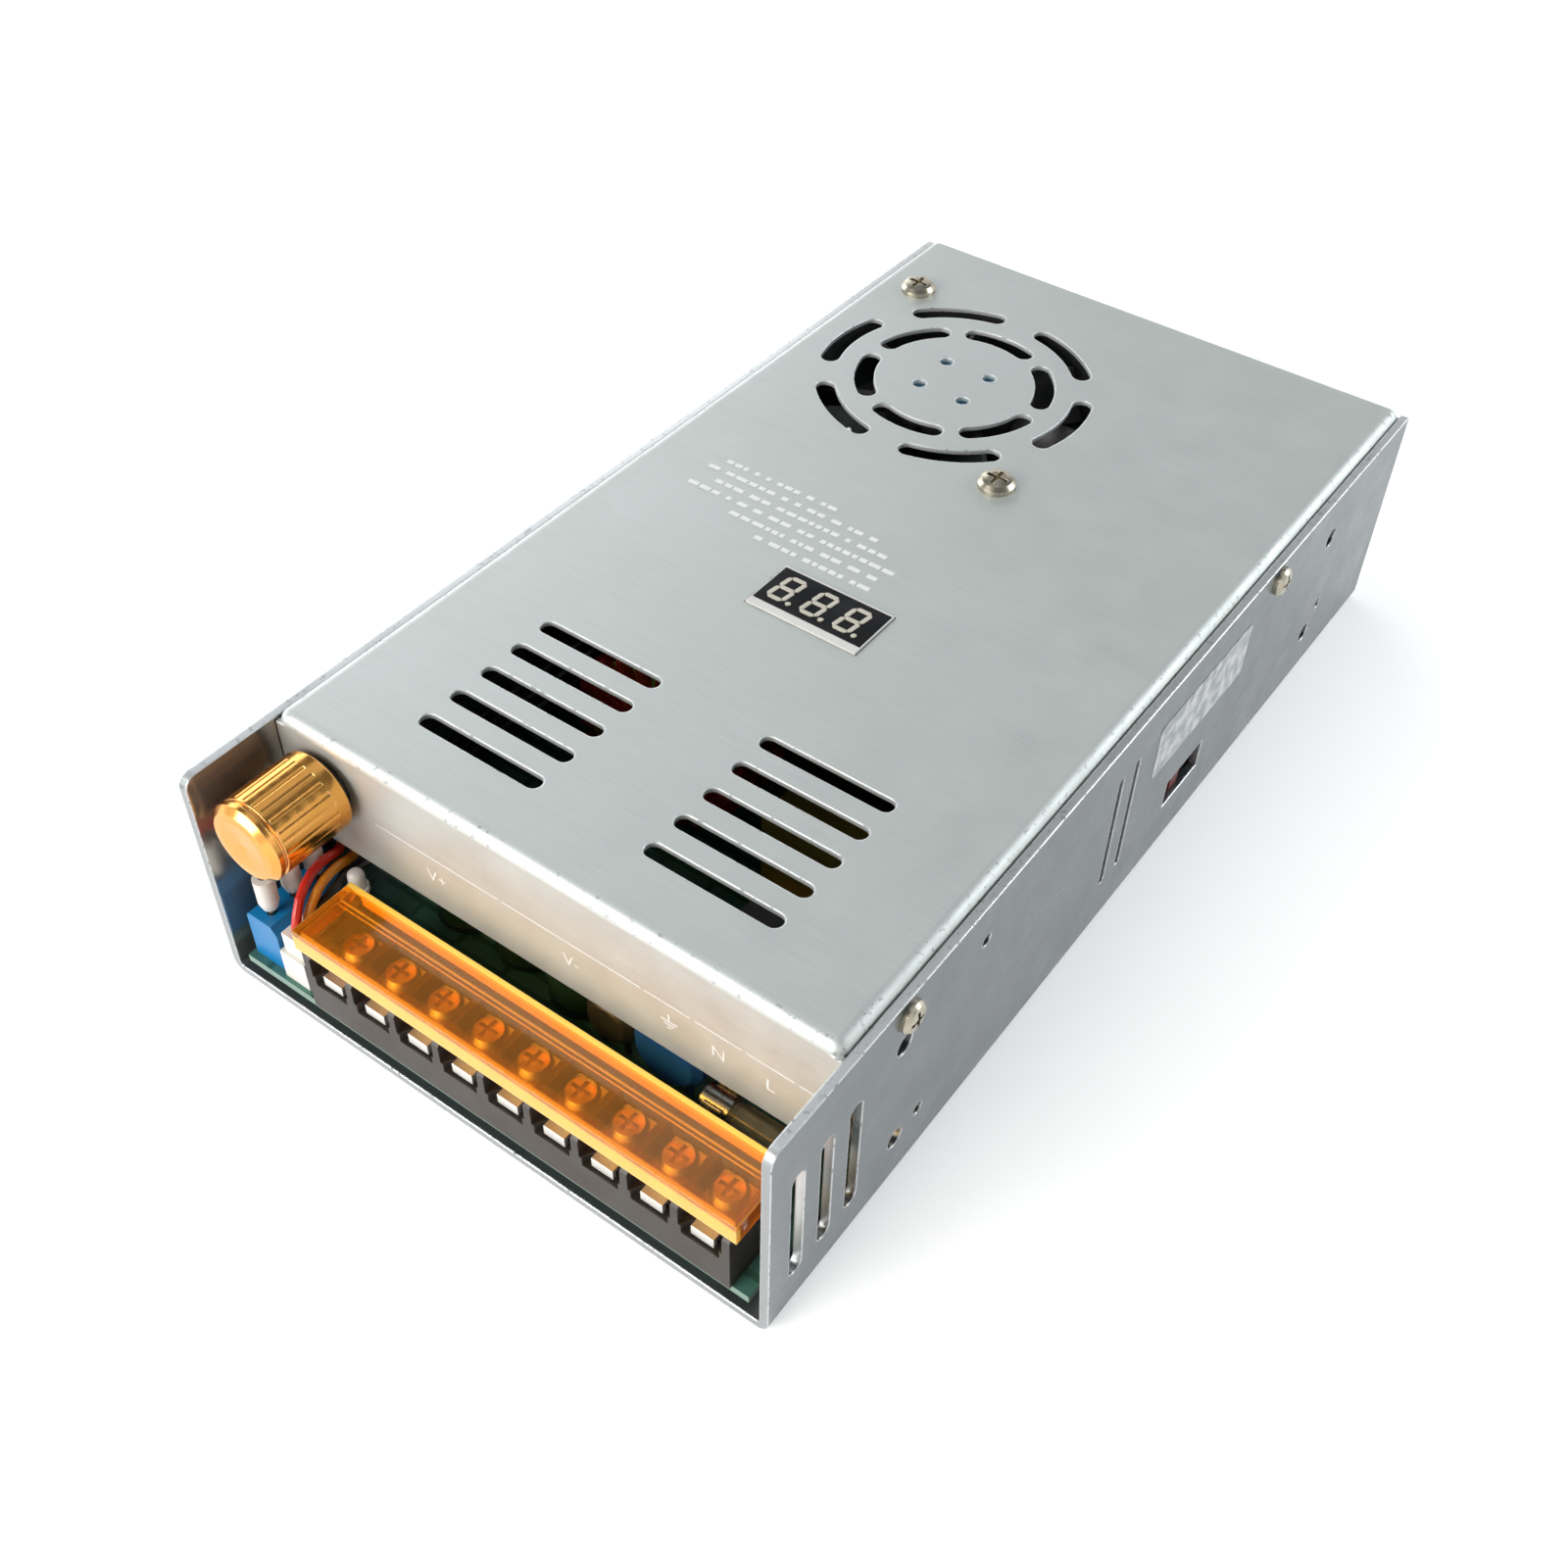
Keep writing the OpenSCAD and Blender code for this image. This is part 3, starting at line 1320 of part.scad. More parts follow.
// Switch case on the board behind the wall's window, hollow where the slider runs
module selector_body() {
    run_l = tongue_l + selector_travel + 2 * move_gap;
    run_t = tongue_t + 2 * move_gap;
    color("saddlebrown") difference() {
        translate([sel_x1 - sel_depth, selector_y - sel_w / 2, deck_z]) cube([sel_depth, sel_w, sel_h]);
        translate([sel_x1 - sel_face - cut, selector_y - window_l / 2, selector_z - window_h / 2])
            cube([sel_face + 2 * cut, window_l, window_h]);
        translate([sel_x1 - sel_face - run_t, selector_y - run_l / 2, selector_z - window_h / 2])
            cube([run_t, run_l, window_h]);
    }
}

// Slider at its low end: a tongue inside the case and a nub in the window
module selector_slider() {
    y = selector_y - selector_travel / 2;
    back = sel_x1 - sel_face - move_gap;
    out = wall_x + nub_out;
    color("brown") {
        translate([back - tongue_t, y - tongue_l / 2, selector_z - nub_h / 2])
            cube([tongue_t, tongue_l, nub_h]);
        difference() {
            translate([back - nub_root, y - nub_l / 2, selector_z - nub_h / 2])
                cube([out - back + nub_root, nub_l, nub_h]);
            translate([out - nub_groove_d, y - nub_groove_w / 2, selector_z - nub_h])
                cube([nub_groove_d + cut, nub_groove_w, 2 * nub_h]);
        }
    }
}

// Fan leads

module fan_lead_red() { color("red") lead(fan_routes[0], wire_d, fan_lead_side); }
module fan_lead_black() { color("black") lead(fan_routes[1], wire_d, fan_lead_side); }

module fan_plug() {
    color("white") translate([fan_plug_at[0], fan_plug_at[1], deck_z]) for (b = [fan_plug_size, fan_plug_top]) {
        translate([-b[0] / 2, -b[1] / 2, 0]) cube(b);
    }
}

// Power parts

// Ferrite frame of the line filter choke, standing on the board
module line_choke_core() {
    color("dimgray") translate([line_at[0], line_at[1] + line_core[1] / 2, deck_z]) rotate([90, 0, 0])
        linear_extrude(line_core[1]) difference() {
            translate([-line_core[0] / 2, 0]) square([line_core[0], line_core[2]]);
            translate([line_leg - line_core[0] / 2, line_yoke])
                square([line_core[0] - 2 * line_leg, line_core[2] - 2 * line_yoke]);
        }
}

// Two wound bobbins, one on each upright leg
module line_choke_windings() {
    side = (line_core[0] - line_leg) / 2;
    rise = (line_core[2] - line_coil[2]) / 2;
    first = (line_coil[2] - line_turns * line_pitch) / 2;
    turn = [line_coil[0] + 2 * line_swell, line_coil[1] + 2 * line_swell];
    hole = [line_leg + 2 * fit_gap, line_core[1] + 2 * fit_gap, line_coil[2] + 2 * cut];
    color("peru") for (s = [-1, 1]) {
        translate([line_at[0] + s * side, line_at[1], deck_z + rise]) difference() {
            union() {
                linear_extrude(line_coil[2]) rounded(line_coil[0], line_coil[1], line_coil_r);
                for (i = [0 : line_turns - 1]) {
                    translate([0, 0, first + i * line_pitch]) linear_extrude(line_wire)
                        rounded(turn[0], turn[1], line_coil_r + line_swell);
                }
            }
            translate([-hole[0] / 2, -hole[1] / 2, -cut]) cube(hole);
            translate([-s * (side - fit_gap / 2 + line_coil[0] / 2), 0, line_coil[2] / 2])
                cube([line_coil[0], 2 * line_coil[1], line_coil[2] + 2 * cut], center = true);
        }
    }
}

// Boxed film capacitor across the line
module film_capacitor() {
    color("olive") translate([film_at[0] - film_box[0] / 2, film_at[1] - film_box[1] / 2, deck_z]) difference() {
        cube(film_box);
        for (x = [film_foot_in, film_box[0] - film_foot_in - film_foot[0]]) {
            translate([x, -cut, -cut]) cube([film_foot[0], film_box[1] + 2 * cut, cut + film_foot[1]]);
        }
    }
}

// Disc on edge, facing along the case, on two legs; its size is diameter, thickness and lift
module disc_part(size) {
    d = size[0];
    t = size[1];
    lift = size[2];
    edge = t * 0.3;
    translate([0, t / 2, d / 2 + lift]) rotate([90, 0, 0]) rotate_extrude() polygon([
        [0, 0], [d / 2 - edge, 0], [d / 2, edge], [d / 2, t - edge], [d / 2 - edge, t], [0, t]
    ]);
    for (s = [-1, 1]) {
        translate([s * d / 4 - disc_leg / 2, -disc_leg / 2, 0]) cube([disc_leg, disc_leg, lift + d * 0.2]);
    }
}

module disc_capacitors() {
    color("royalblue") for (p = disc_at) translate([p[0], p[1], deck_z]) disc_part(disc_size);
}

module varistor() {
    color("mediumblue") translate([varistor_at[0], varistor_at[1], deck_z]) disc_part(varistor_size);
}

module thermistor() {
    color("darkslategray") translate([thermistor_at[0], thermistor_at[1], deck_z]) disc_part(thermistor_size);
}

// Glass tube fuse with nickel caps in two spring clips
module fuse_tube() {
    color("lightcyan") translate([fuse_at[0] - fuse_l / 2 + cap_l, fuse_at[1], fuse_z]) rotate([0, 90, 0])
        cylinder(d = fuse_d - 2 * glass_in, h = fuse_l - 2 * cap_l);
}

module fuse_caps() {
    color("silver") for (s = [0, 1]) {
        translate([fuse_at[0] - fuse_l / 2 + s * (fuse_l - cap_l), fuse_at[1], fuse_z]) rotate([0, 90, 0])
            cylinder(d = fuse_d, h = cap_l);
    }
}

module fuse_clips() {
    r = fuse_d / 2 + run_fit;
    mouth = r * 0.8;
    color("lightgray") for (s = [0, 1]) {
        x = fuse_at[0] - fuse_l / 2 + s * (fuse_l - cap_l) + clip_in;
        along_x(x, x + cap_l - 2 * clip_in) translate([fuse_at[1], fuse_z]) {
            difference() {
                circle(r + clip_t);
                circle(r);
                translate([-mouth, 0]) square([2 * mouth, r + 2 * clip_t]);
            }
            translate([-clip_foot / 2, deck_z - fuse_z]) square([clip_foot, fuse_z - deck_z - r - clip_t / 5]);
        }
    }
}

// Aluminium bars against the chassis walls
module heat_sink(ys) {
    x = wall_x - fit_gap - sink_t;
    l = ys[1] - ys[0];
    translate([x, ys[0], deck_z]) cube([sink_t, l, sink_h]);
    translate([x - sink_flange[0], ys[0], deck_z + sink_h]) cube([sink_t + sink_flange[0], l, sink_flange[1]]);
}

module left_heat_sink() { color("silver") mirror([1, 0, 0]) heat_sink(left_sink_y); }
module right_heat_sink() { color("silver") heat_sink(right_sink_y); }

// Flat package with a screw hole and three legs, its back on a bar's inner face
module tab_package(size) {
    x = wall_x - fit_gap - sink_t - size[0];
    translate([x, -size[1] / 2, deck_z + tab_lift]) difference() {
        cube(size);
        translate([-cut, size[1] / 2, size[2] * 0.8]) rotate([0, 90, 0])
            cylinder(d = tab_hole_d, h = size[0] + 2 * cut);
    }
    for (i = [-1 : 1]) {
        translate([x + (size[0] - tab_leg[0]) / 2, i * size[1] * 0.3 - tab_leg[1] / 2, deck_z])
            cube([tab_leg[0], tab_leg[1], tab_lift + leg_in]);
    }
}

module output_rectifiers() {
    color("black") mirror([1, 0, 0]) for (y = rectifier_ys) translate([0, y, 0]) tab_package(rectifier_size);
}

module switching_transistors() {
    color("black") for (y = switch_ys) translate([0, y, 0]) tab_package(switch_size);
}

// Flat bridge rectifier on the same bar
module bridge_rectifier() {
    x = wall_x - fit_gap - sink_t - bridge_size[0];
    color("black") {
        translate([x, bridge_y, deck_z + bridge_lift]) cube(bridge_size);
        for (i = [0 : 3]) {
            translate([x + (bridge_size[0] - bridge_leg) / 2, bridge_y + bridge_leg + i * bridge_pitch, deck_z])
                cube([bridge_leg, bridge_leg, bridge_lift + leg_in]);
        }
    }
}

module bulk_capacitors() {
    color("midnightblue") for (p = bulk_at) translate([p[0], p[1], deck_z]) can(bulk_d, bulk_h);
}

module output_capacitors() {
    color("darkgreen") for (p = out_at) translate([p[0], p[1], deck_z]) can(out_d, out_h);
}

// Pair of E cores, their outer legs outside the coil and their middle leg through it
module transformer_core() {
    window = (core_w - core_mid) / 2 - core_leg;
    color("dimgray") translate([core_at[0], core_at[1] + core_depth / 2, deck_z + core_lift]) rotate([90, 0, 0])
        linear_extrude(core_depth) difference() {
            translate([-core_w / 2, 0]) square([core_w, core_h]);
            for (x = [core_leg - core_w / 2, core_mid / 2]) {
                translate([x, core_yoke]) square([window, core_h - 2 * core_yoke]);
            }
        }
}

// Bobbin with taped windings and a flange at each end, standing on its pin rows
module transformer_coil() {
    w = core_w - 2 * core_leg - 2 * fit_gap;
    h = core_h - 2 * core_yoke - 2 * fit_gap;
    rise = core_lift + core_yoke + fit_gap;
    hole = [core_mid + 2 * fit_gap, core_depth + 2 * fit_gap, h + 2 * cut];
    color("khaki") translate([core_at[0], core_at[1], deck_z + rise]) {
        difference() {
            union() {
                translate([0, 0, coil_flange]) linear_extrude(h - 2 * coil_flange)
                    rounded(w - 2 * coil_flange, coil_depth - 2 * coil_flange, coil_corner);
                for (z = [0, h - coil_flange]) {
                    translate([0, 0, z]) linear_extrude(coil_flange) rounded(w, coil_depth, coil_corner);
                }
            }
            translate([-hole[0] / 2, -hole[1] / 2, -cut]) cube(hole);
        }
        for (s = [-1, 1]) {
            translate([coil_flange - w / 2, s * (coil_depth / 2 - coil_foot_in) - coil_foot / 2, -rise])
                cube([w - 2 * coil_flange, coil_foot, rise + coil_flange / 2]);
        }
    }
}

// Powder core ring standing on edge
module output_choke_core() {
    color("olivedrab") translate([choke_at[0], choke_at[1], choke_z]) rotate([90, 0, 0]) difference() {
        cylinder(d = choke_d, h = choke_h, center = true);
        cylinder(d = choke_bore, h = choke_h + 2 * cut, center = true);
    }
}

// Turns of thick copper wire round the ring, and its two ends down to the board
module output_choke_winding() {
    ring = (choke_d - choke_bore) / 2 + 2 * choke_gap;
    tall = choke_h + 2 * choke_gap;
    mid = (choke_d + choke_bore) / 4;
    step = choke_arc / choke_turns;
    first = (360 - choke_arc + step) / 2;
    reach = choke_d / 2 + choke_gap + choke_wire / 2;
    color("firebrick") {
        translate([choke_at[0], choke_at[1], choke_z]) rotate([90, 0, 0]) for (i = [0 : choke_turns - 1]) {
            rotate([0, 0, first + step * i - 90]) translate([mid, choke_wire / 2, 0]) rotate([90, 0, 0])
                linear_extrude(choke_wire) difference() {
                    rounded(ring + 2 * choke_wire, tall + 2 * choke_wire, choke_wire);
                    square([ring, tall], center = true);
                }
        }
        for (side = [-1, 1]) {
            translate([choke_at[0] + side * reach * sin(first), choke_at[1], deck_z])
                linear_extrude(choke_z - reach * cos(first) - deck_z + choke_tail)
                square(choke_wire, center = true);
        }
    }
}

// Small upright board with the control circuit
module controller_board() {
    color("seagreen") translate([control_board_at[0], control_board_at[1] - control_board[1] / 2, deck_z]) {
        cube(control_board);
        for (c = control_chips) {
            translate([control_board[0], c[0], c[1]]) cube([chip_size[0], c[2], chip_size[1]]);
        }
    }
}

base_chassis();
top_cover();
cover_screws();
fan_screws();
fan_frame();
fan_stator();
fan_rotor();
terminal_block();
terminal_plates();
terminal_clamps();
terminal_screws();
terminal_lid();
circuit_board();
insulating_film();
board_standoffs();
board_screws();
pot_body();
pot_shaft();
pot_nut();
control_knob();
knob_set_screw();
pot_plug();
pot_lead_red();
pot_lead_yellow();
pot_lead_black();
meter_housing();
meter_face();
meter_digits();
meter_board();
meter_terminal();
meter_leads();
meter_ferrules();
ferrule_tips();
power_lamp();
selector_body();
selector_slider();
fan_lead_red();
fan_lead_black();
fan_plug();
line_choke_core();
line_choke_windings();
film_capacitor();
disc_capacitors();
varistor();
thermistor();
fuse_tube();
fuse_caps();
fuse_clips();
bridge_rectifier();
left_heat_sink();
right_heat_sink();
output_rectifiers();
switching_transistors();
bulk_capacitors();
transformer_core();
transformer_coil();
output_choke_core();
output_choke_winding();
output_capacitors();
controller_board();
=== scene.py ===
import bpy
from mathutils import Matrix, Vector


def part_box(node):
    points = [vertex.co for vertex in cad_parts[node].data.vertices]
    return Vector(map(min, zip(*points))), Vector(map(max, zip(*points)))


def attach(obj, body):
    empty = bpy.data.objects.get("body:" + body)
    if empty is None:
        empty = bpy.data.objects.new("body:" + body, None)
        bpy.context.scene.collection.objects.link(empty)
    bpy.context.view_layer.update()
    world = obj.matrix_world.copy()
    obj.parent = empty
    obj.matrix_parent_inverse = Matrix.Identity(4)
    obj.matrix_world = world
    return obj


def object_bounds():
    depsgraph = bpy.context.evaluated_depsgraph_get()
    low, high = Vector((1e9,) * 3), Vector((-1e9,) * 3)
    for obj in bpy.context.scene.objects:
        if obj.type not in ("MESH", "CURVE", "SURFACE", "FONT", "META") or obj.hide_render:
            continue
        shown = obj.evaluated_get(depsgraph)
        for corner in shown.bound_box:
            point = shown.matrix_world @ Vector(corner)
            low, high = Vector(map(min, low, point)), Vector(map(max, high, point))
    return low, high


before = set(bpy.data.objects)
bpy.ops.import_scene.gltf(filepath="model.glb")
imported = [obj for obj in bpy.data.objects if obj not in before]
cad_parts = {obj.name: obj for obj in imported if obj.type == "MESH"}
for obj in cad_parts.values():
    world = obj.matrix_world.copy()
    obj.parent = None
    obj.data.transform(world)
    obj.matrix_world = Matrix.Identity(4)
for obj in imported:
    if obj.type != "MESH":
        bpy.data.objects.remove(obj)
cad_box = [list(corner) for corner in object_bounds()]

import math
import random

import bmesh
import bpy
from mathutils import Matrix, Vector

# The studio: a camera above and to the right of the terminal strip, where the photograph was taken from,
# a pale floor, and soft boxes. The lens and shift put the case's corners where the photograph has them.
scene = bpy.context.scene
scene.view_settings.view_transform = "Standard"
azimuth, elevation, roll = math.radians(34.1413), math.radians(44.8367), math.radians(2.192)
camera_at = Vector((0.1298657, -0.2091054, 0.2433196))
photo_width = 1600
focal_pixels = 1795.8
middle_pixel = (825.6, 778.05)

back = Vector((
    math.sin(azimuth) * math.cos(elevation),
    -math.cos(azimuth) * math.cos(elevation),
    math.sin(elevation),
))
level = Vector((math.cos(azimuth), math.sin(azimuth), 0))
upright = back.cross(level)
camera_right = level * math.cos(roll) + upright * math.sin(roll)
camera_up = upright * math.cos(roll) - level * math.sin(roll)
camera = bpy.data.objects.new("camera", bpy.data.cameras.new("camera"))
camera.data.sensor_width = 36
camera.data.lens = focal_pixels * camera.data.sensor_width / photo_width
camera.data.shift_x = 0.5 - middle_pixel[0] / photo_width
camera.data.shift_y = middle_pixel[1] / photo_width - 0.5
seat = Matrix((camera_right, camera_up, back)).transposed().to_4x4()
seat.translation = camera_at
camera.matrix_world = seat
scene.collection.objects.link(camera)
scene.camera = camera

MM = 0.001


def linear(code):
    channels = [int(code[i:i + 2], 16) / 255 for i in (1, 3, 5)]
    return tuple(c / 12.92 if c <= 0.04045 else ((c + 0.055) / 1.055) ** 2.4 for c in channels) + (1.0,)


def add(tree, kind, inputs=None, **settings):
    # A socket goes by its name, or by its number where a node repeats a name: Map Range takes a value, the
    # range it comes from and the range it goes to as 0 to 4, and Mix its share as 0 and its colours as 6 and 7.
    made = tree.nodes.new(kind)
    for key, value in settings.items():
        setattr(made, key, value)
    for key, value in (inputs or {}).items():
        if isinstance(value, bpy.types.NodeSocket):
            tree.links.new(value, made.inputs[key])
        else:
            made.inputs[key].default_value = value
    return made


def blank(name):
    made = bpy.data.materials.new(name)
    made.use_nodes = True
    made.node_tree.nodes.clear()
    return made, made.node_tree


# Matt white paper, swept up all round at four metres: it keeps the object's soft shadow, and far from the boxes
# it is lifted to the same white for the eye, for metal and for glass.
paper, tree = blank("matt_paper_sweep")
place = add(tree, "ShaderNodeTexCoord").outputs["Object"]
fibre = add(tree, "ShaderNodeTexNoise", {"Vector": place, "Scale": 1 / (20 * MM), "Detail": 4})
tint = add(tree, "ShaderNodeMix", {
    0: fibre.outputs[0],
    6: linear("#f9f9f9"),
    7: linear("#fdfdfd"),
}, data_type="RGBA")
away = add(tree, "ShaderNodeVectorMath", {0: place}, operation="LENGTH")
# Metres from the object, between which the lift grows.
near_object, far_off = 0.4, 2.4
lift = add(tree, "ShaderNodeMapRange", {
    0: away.outputs["Value"], 1: near_object, 2: far_off, 3: 0.4, 4: 0.8,
}, interpolation_type="SMOOTHSTEP")
ray = add(tree, "ShaderNodeLightPath")
clear = add(tree, "ShaderNodeMath", {
    0: ray.outputs["Is Glossy Ray"], 1: ray.outputs["Is Transmission Ray"],
}, operation="MAXIMUM")
seen = add(tree, "ShaderNodeMath", {
    0: ray.outputs["Is Camera Ray"], 1: clear.outputs[0],
}, operation="MAXIMUM")
lifted = add(tree, "ShaderNodeMath", {0: lift.outputs[0], 1: seen.outputs[0]}, operation="MULTIPLY")
sheet = add(tree, "ShaderNodeBsdfPrincipled", {
    "Base Color": tint.outputs[2],
    "Roughness": 0.85,
    "Emission Color": (1, 1, 1, 1),
    "Emission Strength": lifted.outputs[0],
})
add(tree, "ShaderNodeOutputMaterial", {"Surface": sheet.outputs[0]})
# The sweep's sizes in metres: a flat disc, a quarter round and an upright wall.
flat_r, bend_start, bend_r, paper_top = 2.6, 3.0, 1.0, 2.2
bend_steps = 12
paper_gap = 0.1 * MM
bend_angles = [math.pi / 2 / bend_steps * i for i in range(bend_steps + 1)]
bend = [(bend_start + bend_r * math.sin(a), bend_r - bend_r * math.cos(a)) for a in bend_angles]
profile = [(0, 0), (flat_r, 0)] + bend + [(bend_start + bend_r, paper_top)]
ground = bmesh.new()
sweep = [ground.verts.new((x, 0, z)) for x, z in profile]
lines = [ground.edges.new(pair) for pair in zip(sweep, sweep[1:])]
bmesh.ops.spin(
    ground, geom=sweep + lines, axis=(0, 0, 1), cent=(0, 0, 0), angle=2 * math.pi, steps=72, use_merge=True,
)
bmesh.ops.remove_doubles(ground, verts=ground.verts, dist=1 * MM)
bmesh.ops.recalc_face_normals(ground, faces=ground.faces)
bmesh.ops.reverse_faces(ground, faces=[f for f in ground.faces if f.normal.z < -0.01])
bmesh.ops.translate(ground, vec=(0, 0, cad_box[0][2] - paper_gap), verts=ground.verts)
for face in ground.faces:
    face.smooth = True
floor = bpy.data.objects.new("floor", bpy.data.meshes.new("floor"))
ground.to_mesh(floor.data)
ground.free()
floor.data.materials.append(paper)
scene.collection.objects.link(floor)

# Soft boxes: name, place, the point they face, width and depth in metres, brightness of the cloth, colour.
# A lamp's watts follow from the brightness and the area of its cloth, and the eye doesn't see the box itself.
watts_per_area = 4
for name, at, aim, size, glow, tone in (
    ("box_front_left", (-0.32, -1.02, 0.5), (0, -0.05, 0.03), (0.8, 0.6), 7.0, "#fffbf7"),
    ("box_above", (-0.2, 0.1, 1.1), (0, 0, 0), (0.9, 0.7), 0.45, "#f6fbff"),
    ("box_left", (-1.0, 0.35, 0.45), (0, 0.0, 0.03), (1.4, 0.6), 1.7, "#f8fcff"),
    ("box_right_rear", (0.5, 0.52, 0.36), (0, 0.05, 0.04), (0.4, 0.4), 3.9, "#f8fcff"),
):
    lamp = bpy.data.lights.new(name, "AREA")
    lamp.shape = "RECTANGLE"
    lamp.size, lamp.size_y = size
    lamp.energy = watts_per_area * glow * size[0] * size[1]
    lamp.color = linear(tone)[:3]
    box = bpy.data.objects.new(name, lamp)
    facing = (Vector(at) - Vector(aim)).to_track_quat("Z", "Y").to_matrix().to_4x4()
    facing.translation = at
    box.matrix_world = facing
    box.visible_camera = False
    scene.collection.objects.link(box)

world = bpy.data.worlds.new("studio_walls")
world.use_nodes = True
world.node_tree.nodes.clear()
tree = world.node_tree
room = add(tree, "ShaderNodeBackground", {"Color": linear("#f3f7fa"), "Strength": 0.2})
add(tree, "ShaderNodeOutputWorld", {"Surface": room.outputs[0]})
scene.world = world

# Chassis: one aluminium sheet 1.6 mm thick, punched, sheared and folded into a U. It carries everything else,
# and its bare mill finish is more handled and darker than the cover's.


def dress(finish, *nodes):
    for name in nodes:
        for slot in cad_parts[name].material_slots:
            slot.material = finish


def mill_sheet(name, body, bright, dull, inner_painted_light, roughness, rolled, metallic, painted_highlight_and_chips_z=None):
    # Rolled or sawn metal: satin, with a faint straight grain along its length, and paler along every edge,
    # partly the bright metal of a cut and partly a painted highlight, with small dark nicks along edges and
    # folds. A wall's inner face is smoother and has its own paler colour, painted light standing in for what it
    # reflects. Where painted_highlight_and_chips_z is given, forward faces at the front and upward faces above
    # that height are painted paler, a painted highlight, and the upward ones are chipped; forward faces behind
    # the front, such as the faces of punched slots, take the painted highlight in full.
    made, tree = blank(name)
    place = add(tree, "ShaderNodeTexCoord").outputs["Object"]
    rolling = add(tree, "ShaderNodeMapping", {"Vector": place, "Scale": rolled})
    # The real grain is near 0.05 mm wide; it is drawn 0.35 mm wide so that it shows.
    grain = add(tree, "ShaderNodeTexNoise", {
        "Vector": rolling.outputs[0], "Scale": 1 / (0.35 * MM), "Detail": 3,
    })
    cloud = add(tree, "ShaderNodeTexNoise", {"Vector": place, "Scale": 1 / (45 * MM), "Detail": 3})
    handled = add(tree, "ShaderNodeTexNoise", {
        "Vector": place, "Scale": 1 / (9 * MM), "Detail": 6, "Roughness": 0.65,
    })
    speck = add(tree, "ShaderNodeTexNoise", {"Vector": place, "Scale": 1 / (1.1 * MM), "Detail": 4})
    soft = add(tree, "ShaderNodeBevel", {"Radius": 0.45 * MM}, samples=4)
    flat = add(tree, "ShaderNodeNewGeometry")
    turn = add(tree, "ShaderNodeVectorMath", {
        0: soft.outputs[0], 1: flat.outputs["Normal"],
    }, operation="DOT_PRODUCT")
    edge = add(tree, "ShaderNodeMapRange", {0: turn.outputs["Value"], 1: 0.995, 2: 0.86, 3: 0.0, 4: 1.0})
    facing = add(tree, "ShaderNodeSeparateXYZ", {0: flat.outputs["Normal"]})
    across = add(tree, "ShaderNodeSeparateXYZ", {0: place})
    # A wall's inner face looks towards the middle, so its normal and its place have opposite signs.
    inward = add(tree, "ShaderNodeMath", {0: facing.outputs[0], 1: across.outputs[0]}, operation="MULTIPLY")
    inside = add(tree, "ShaderNodeMapRange", {
        0: inward.outputs[0], 1: -20 * MM, 2: -40 * MM, 3: 0.0, 4: 1.0,
    })
    # A fold's faces are neither level nor upright.
    level_face = add(tree, "ShaderNodeMath", {0: facing.outputs[2]}, operation="ABSOLUTE")
    fold = add(tree, "ShaderNodeMath", {0: level_face.outputs[0], 1: 0.55, 2: 0.4}, operation="COMPARE")
    bruise = add(tree, "ShaderNodeMath", {0: fold.outputs[0], 1: 0.5}, operation="MULTIPLY")
    edge_wear_and_highlight = add(tree, "ShaderNodeMath", {0: edge.outputs[0], 1: bruise.outputs[0]}, operation="MAXIMUM")
    # Edges are paler: partly the bright metal of a cut, partly a painted highlight.
    pale = edge
    if painted_highlight_and_chips_z is not None:
        front_y = cad_box[0][1]
        punched = add(tree, "ShaderNodeMapRange", {
            0: across.outputs[1], 1: front_y + 1 * MM, 2: front_y + 1.5 * MM, 3: 0.25, 4: 1.0,
        })
        forward = add(tree, "ShaderNodeMapRange", {
            0: facing.outputs[1], 1: -0.7, 2: -0.9, 3: 0.0, 4: punched.outputs[0],
        })
        upward = add(tree, "ShaderNodeMapRange", {0: facing.outputs[2], 1: 0.7, 2: 0.9, 3: 0.0, 4: 0.8})
        high = add(tree, "ShaderNodeMath", {0: across.outputs[2], 1: painted_highlight_and_chips_z}, operation="GREATER_THAN")
        top_edge = add(tree, "ShaderNodeMath", {
            0: upward.outputs[0], 1: high.outputs[0],
        }, operation="MULTIPLY")
        # Painted highlight: forward faces, and upward faces above the given height, are painted paler.
        painted_highlight_faces = add(tree, "ShaderNodeMath", {
            0: forward.outputs[0], 1: top_edge.outputs[0],
        }, operation="MAXIMUM")
        pale = add(tree, "ShaderNodeMath", {0: edge.outputs[0], 1: painted_highlight_faces.outputs[0]}, operation="MAXIMUM")
        chips = add(tree, "ShaderNodeMath", {0: top_edge.outputs[0], 1: 0.5}, operation="MULTIPLY")
        edge_wear_and_highlight = add(tree, "ShaderNodeMath", {
            0: edge_wear_and_highlight.outputs[0], 1: chips.outputs[0],
        }, operation="MAXIMUM")
    skin = add(tree, "ShaderNodeMix", {
        0: cloud.outputs[0], 6: linear(dull), 7: linear(body),
    }, data_type="RGBA")
    # Painted light: a wall's inner face takes the paler inner colour.
    tone = add(tree, "ShaderNodeMix", {
        0: inside.outputs[0], 6: skin.outputs[2], 7: linear(inner_painted_light),
    }, data_type="RGBA")
    streak = add(tree, "ShaderNodeMapRange", {0: grain.outputs[0], 1: 0.3, 2: 0.7, 3: 0.97, 4: 1.025})
    lined = add(tree, "ShaderNodeVectorMath", {
        0: tone.outputs[2], "Scale": streak.outputs[0],
    }, operation="SCALE")
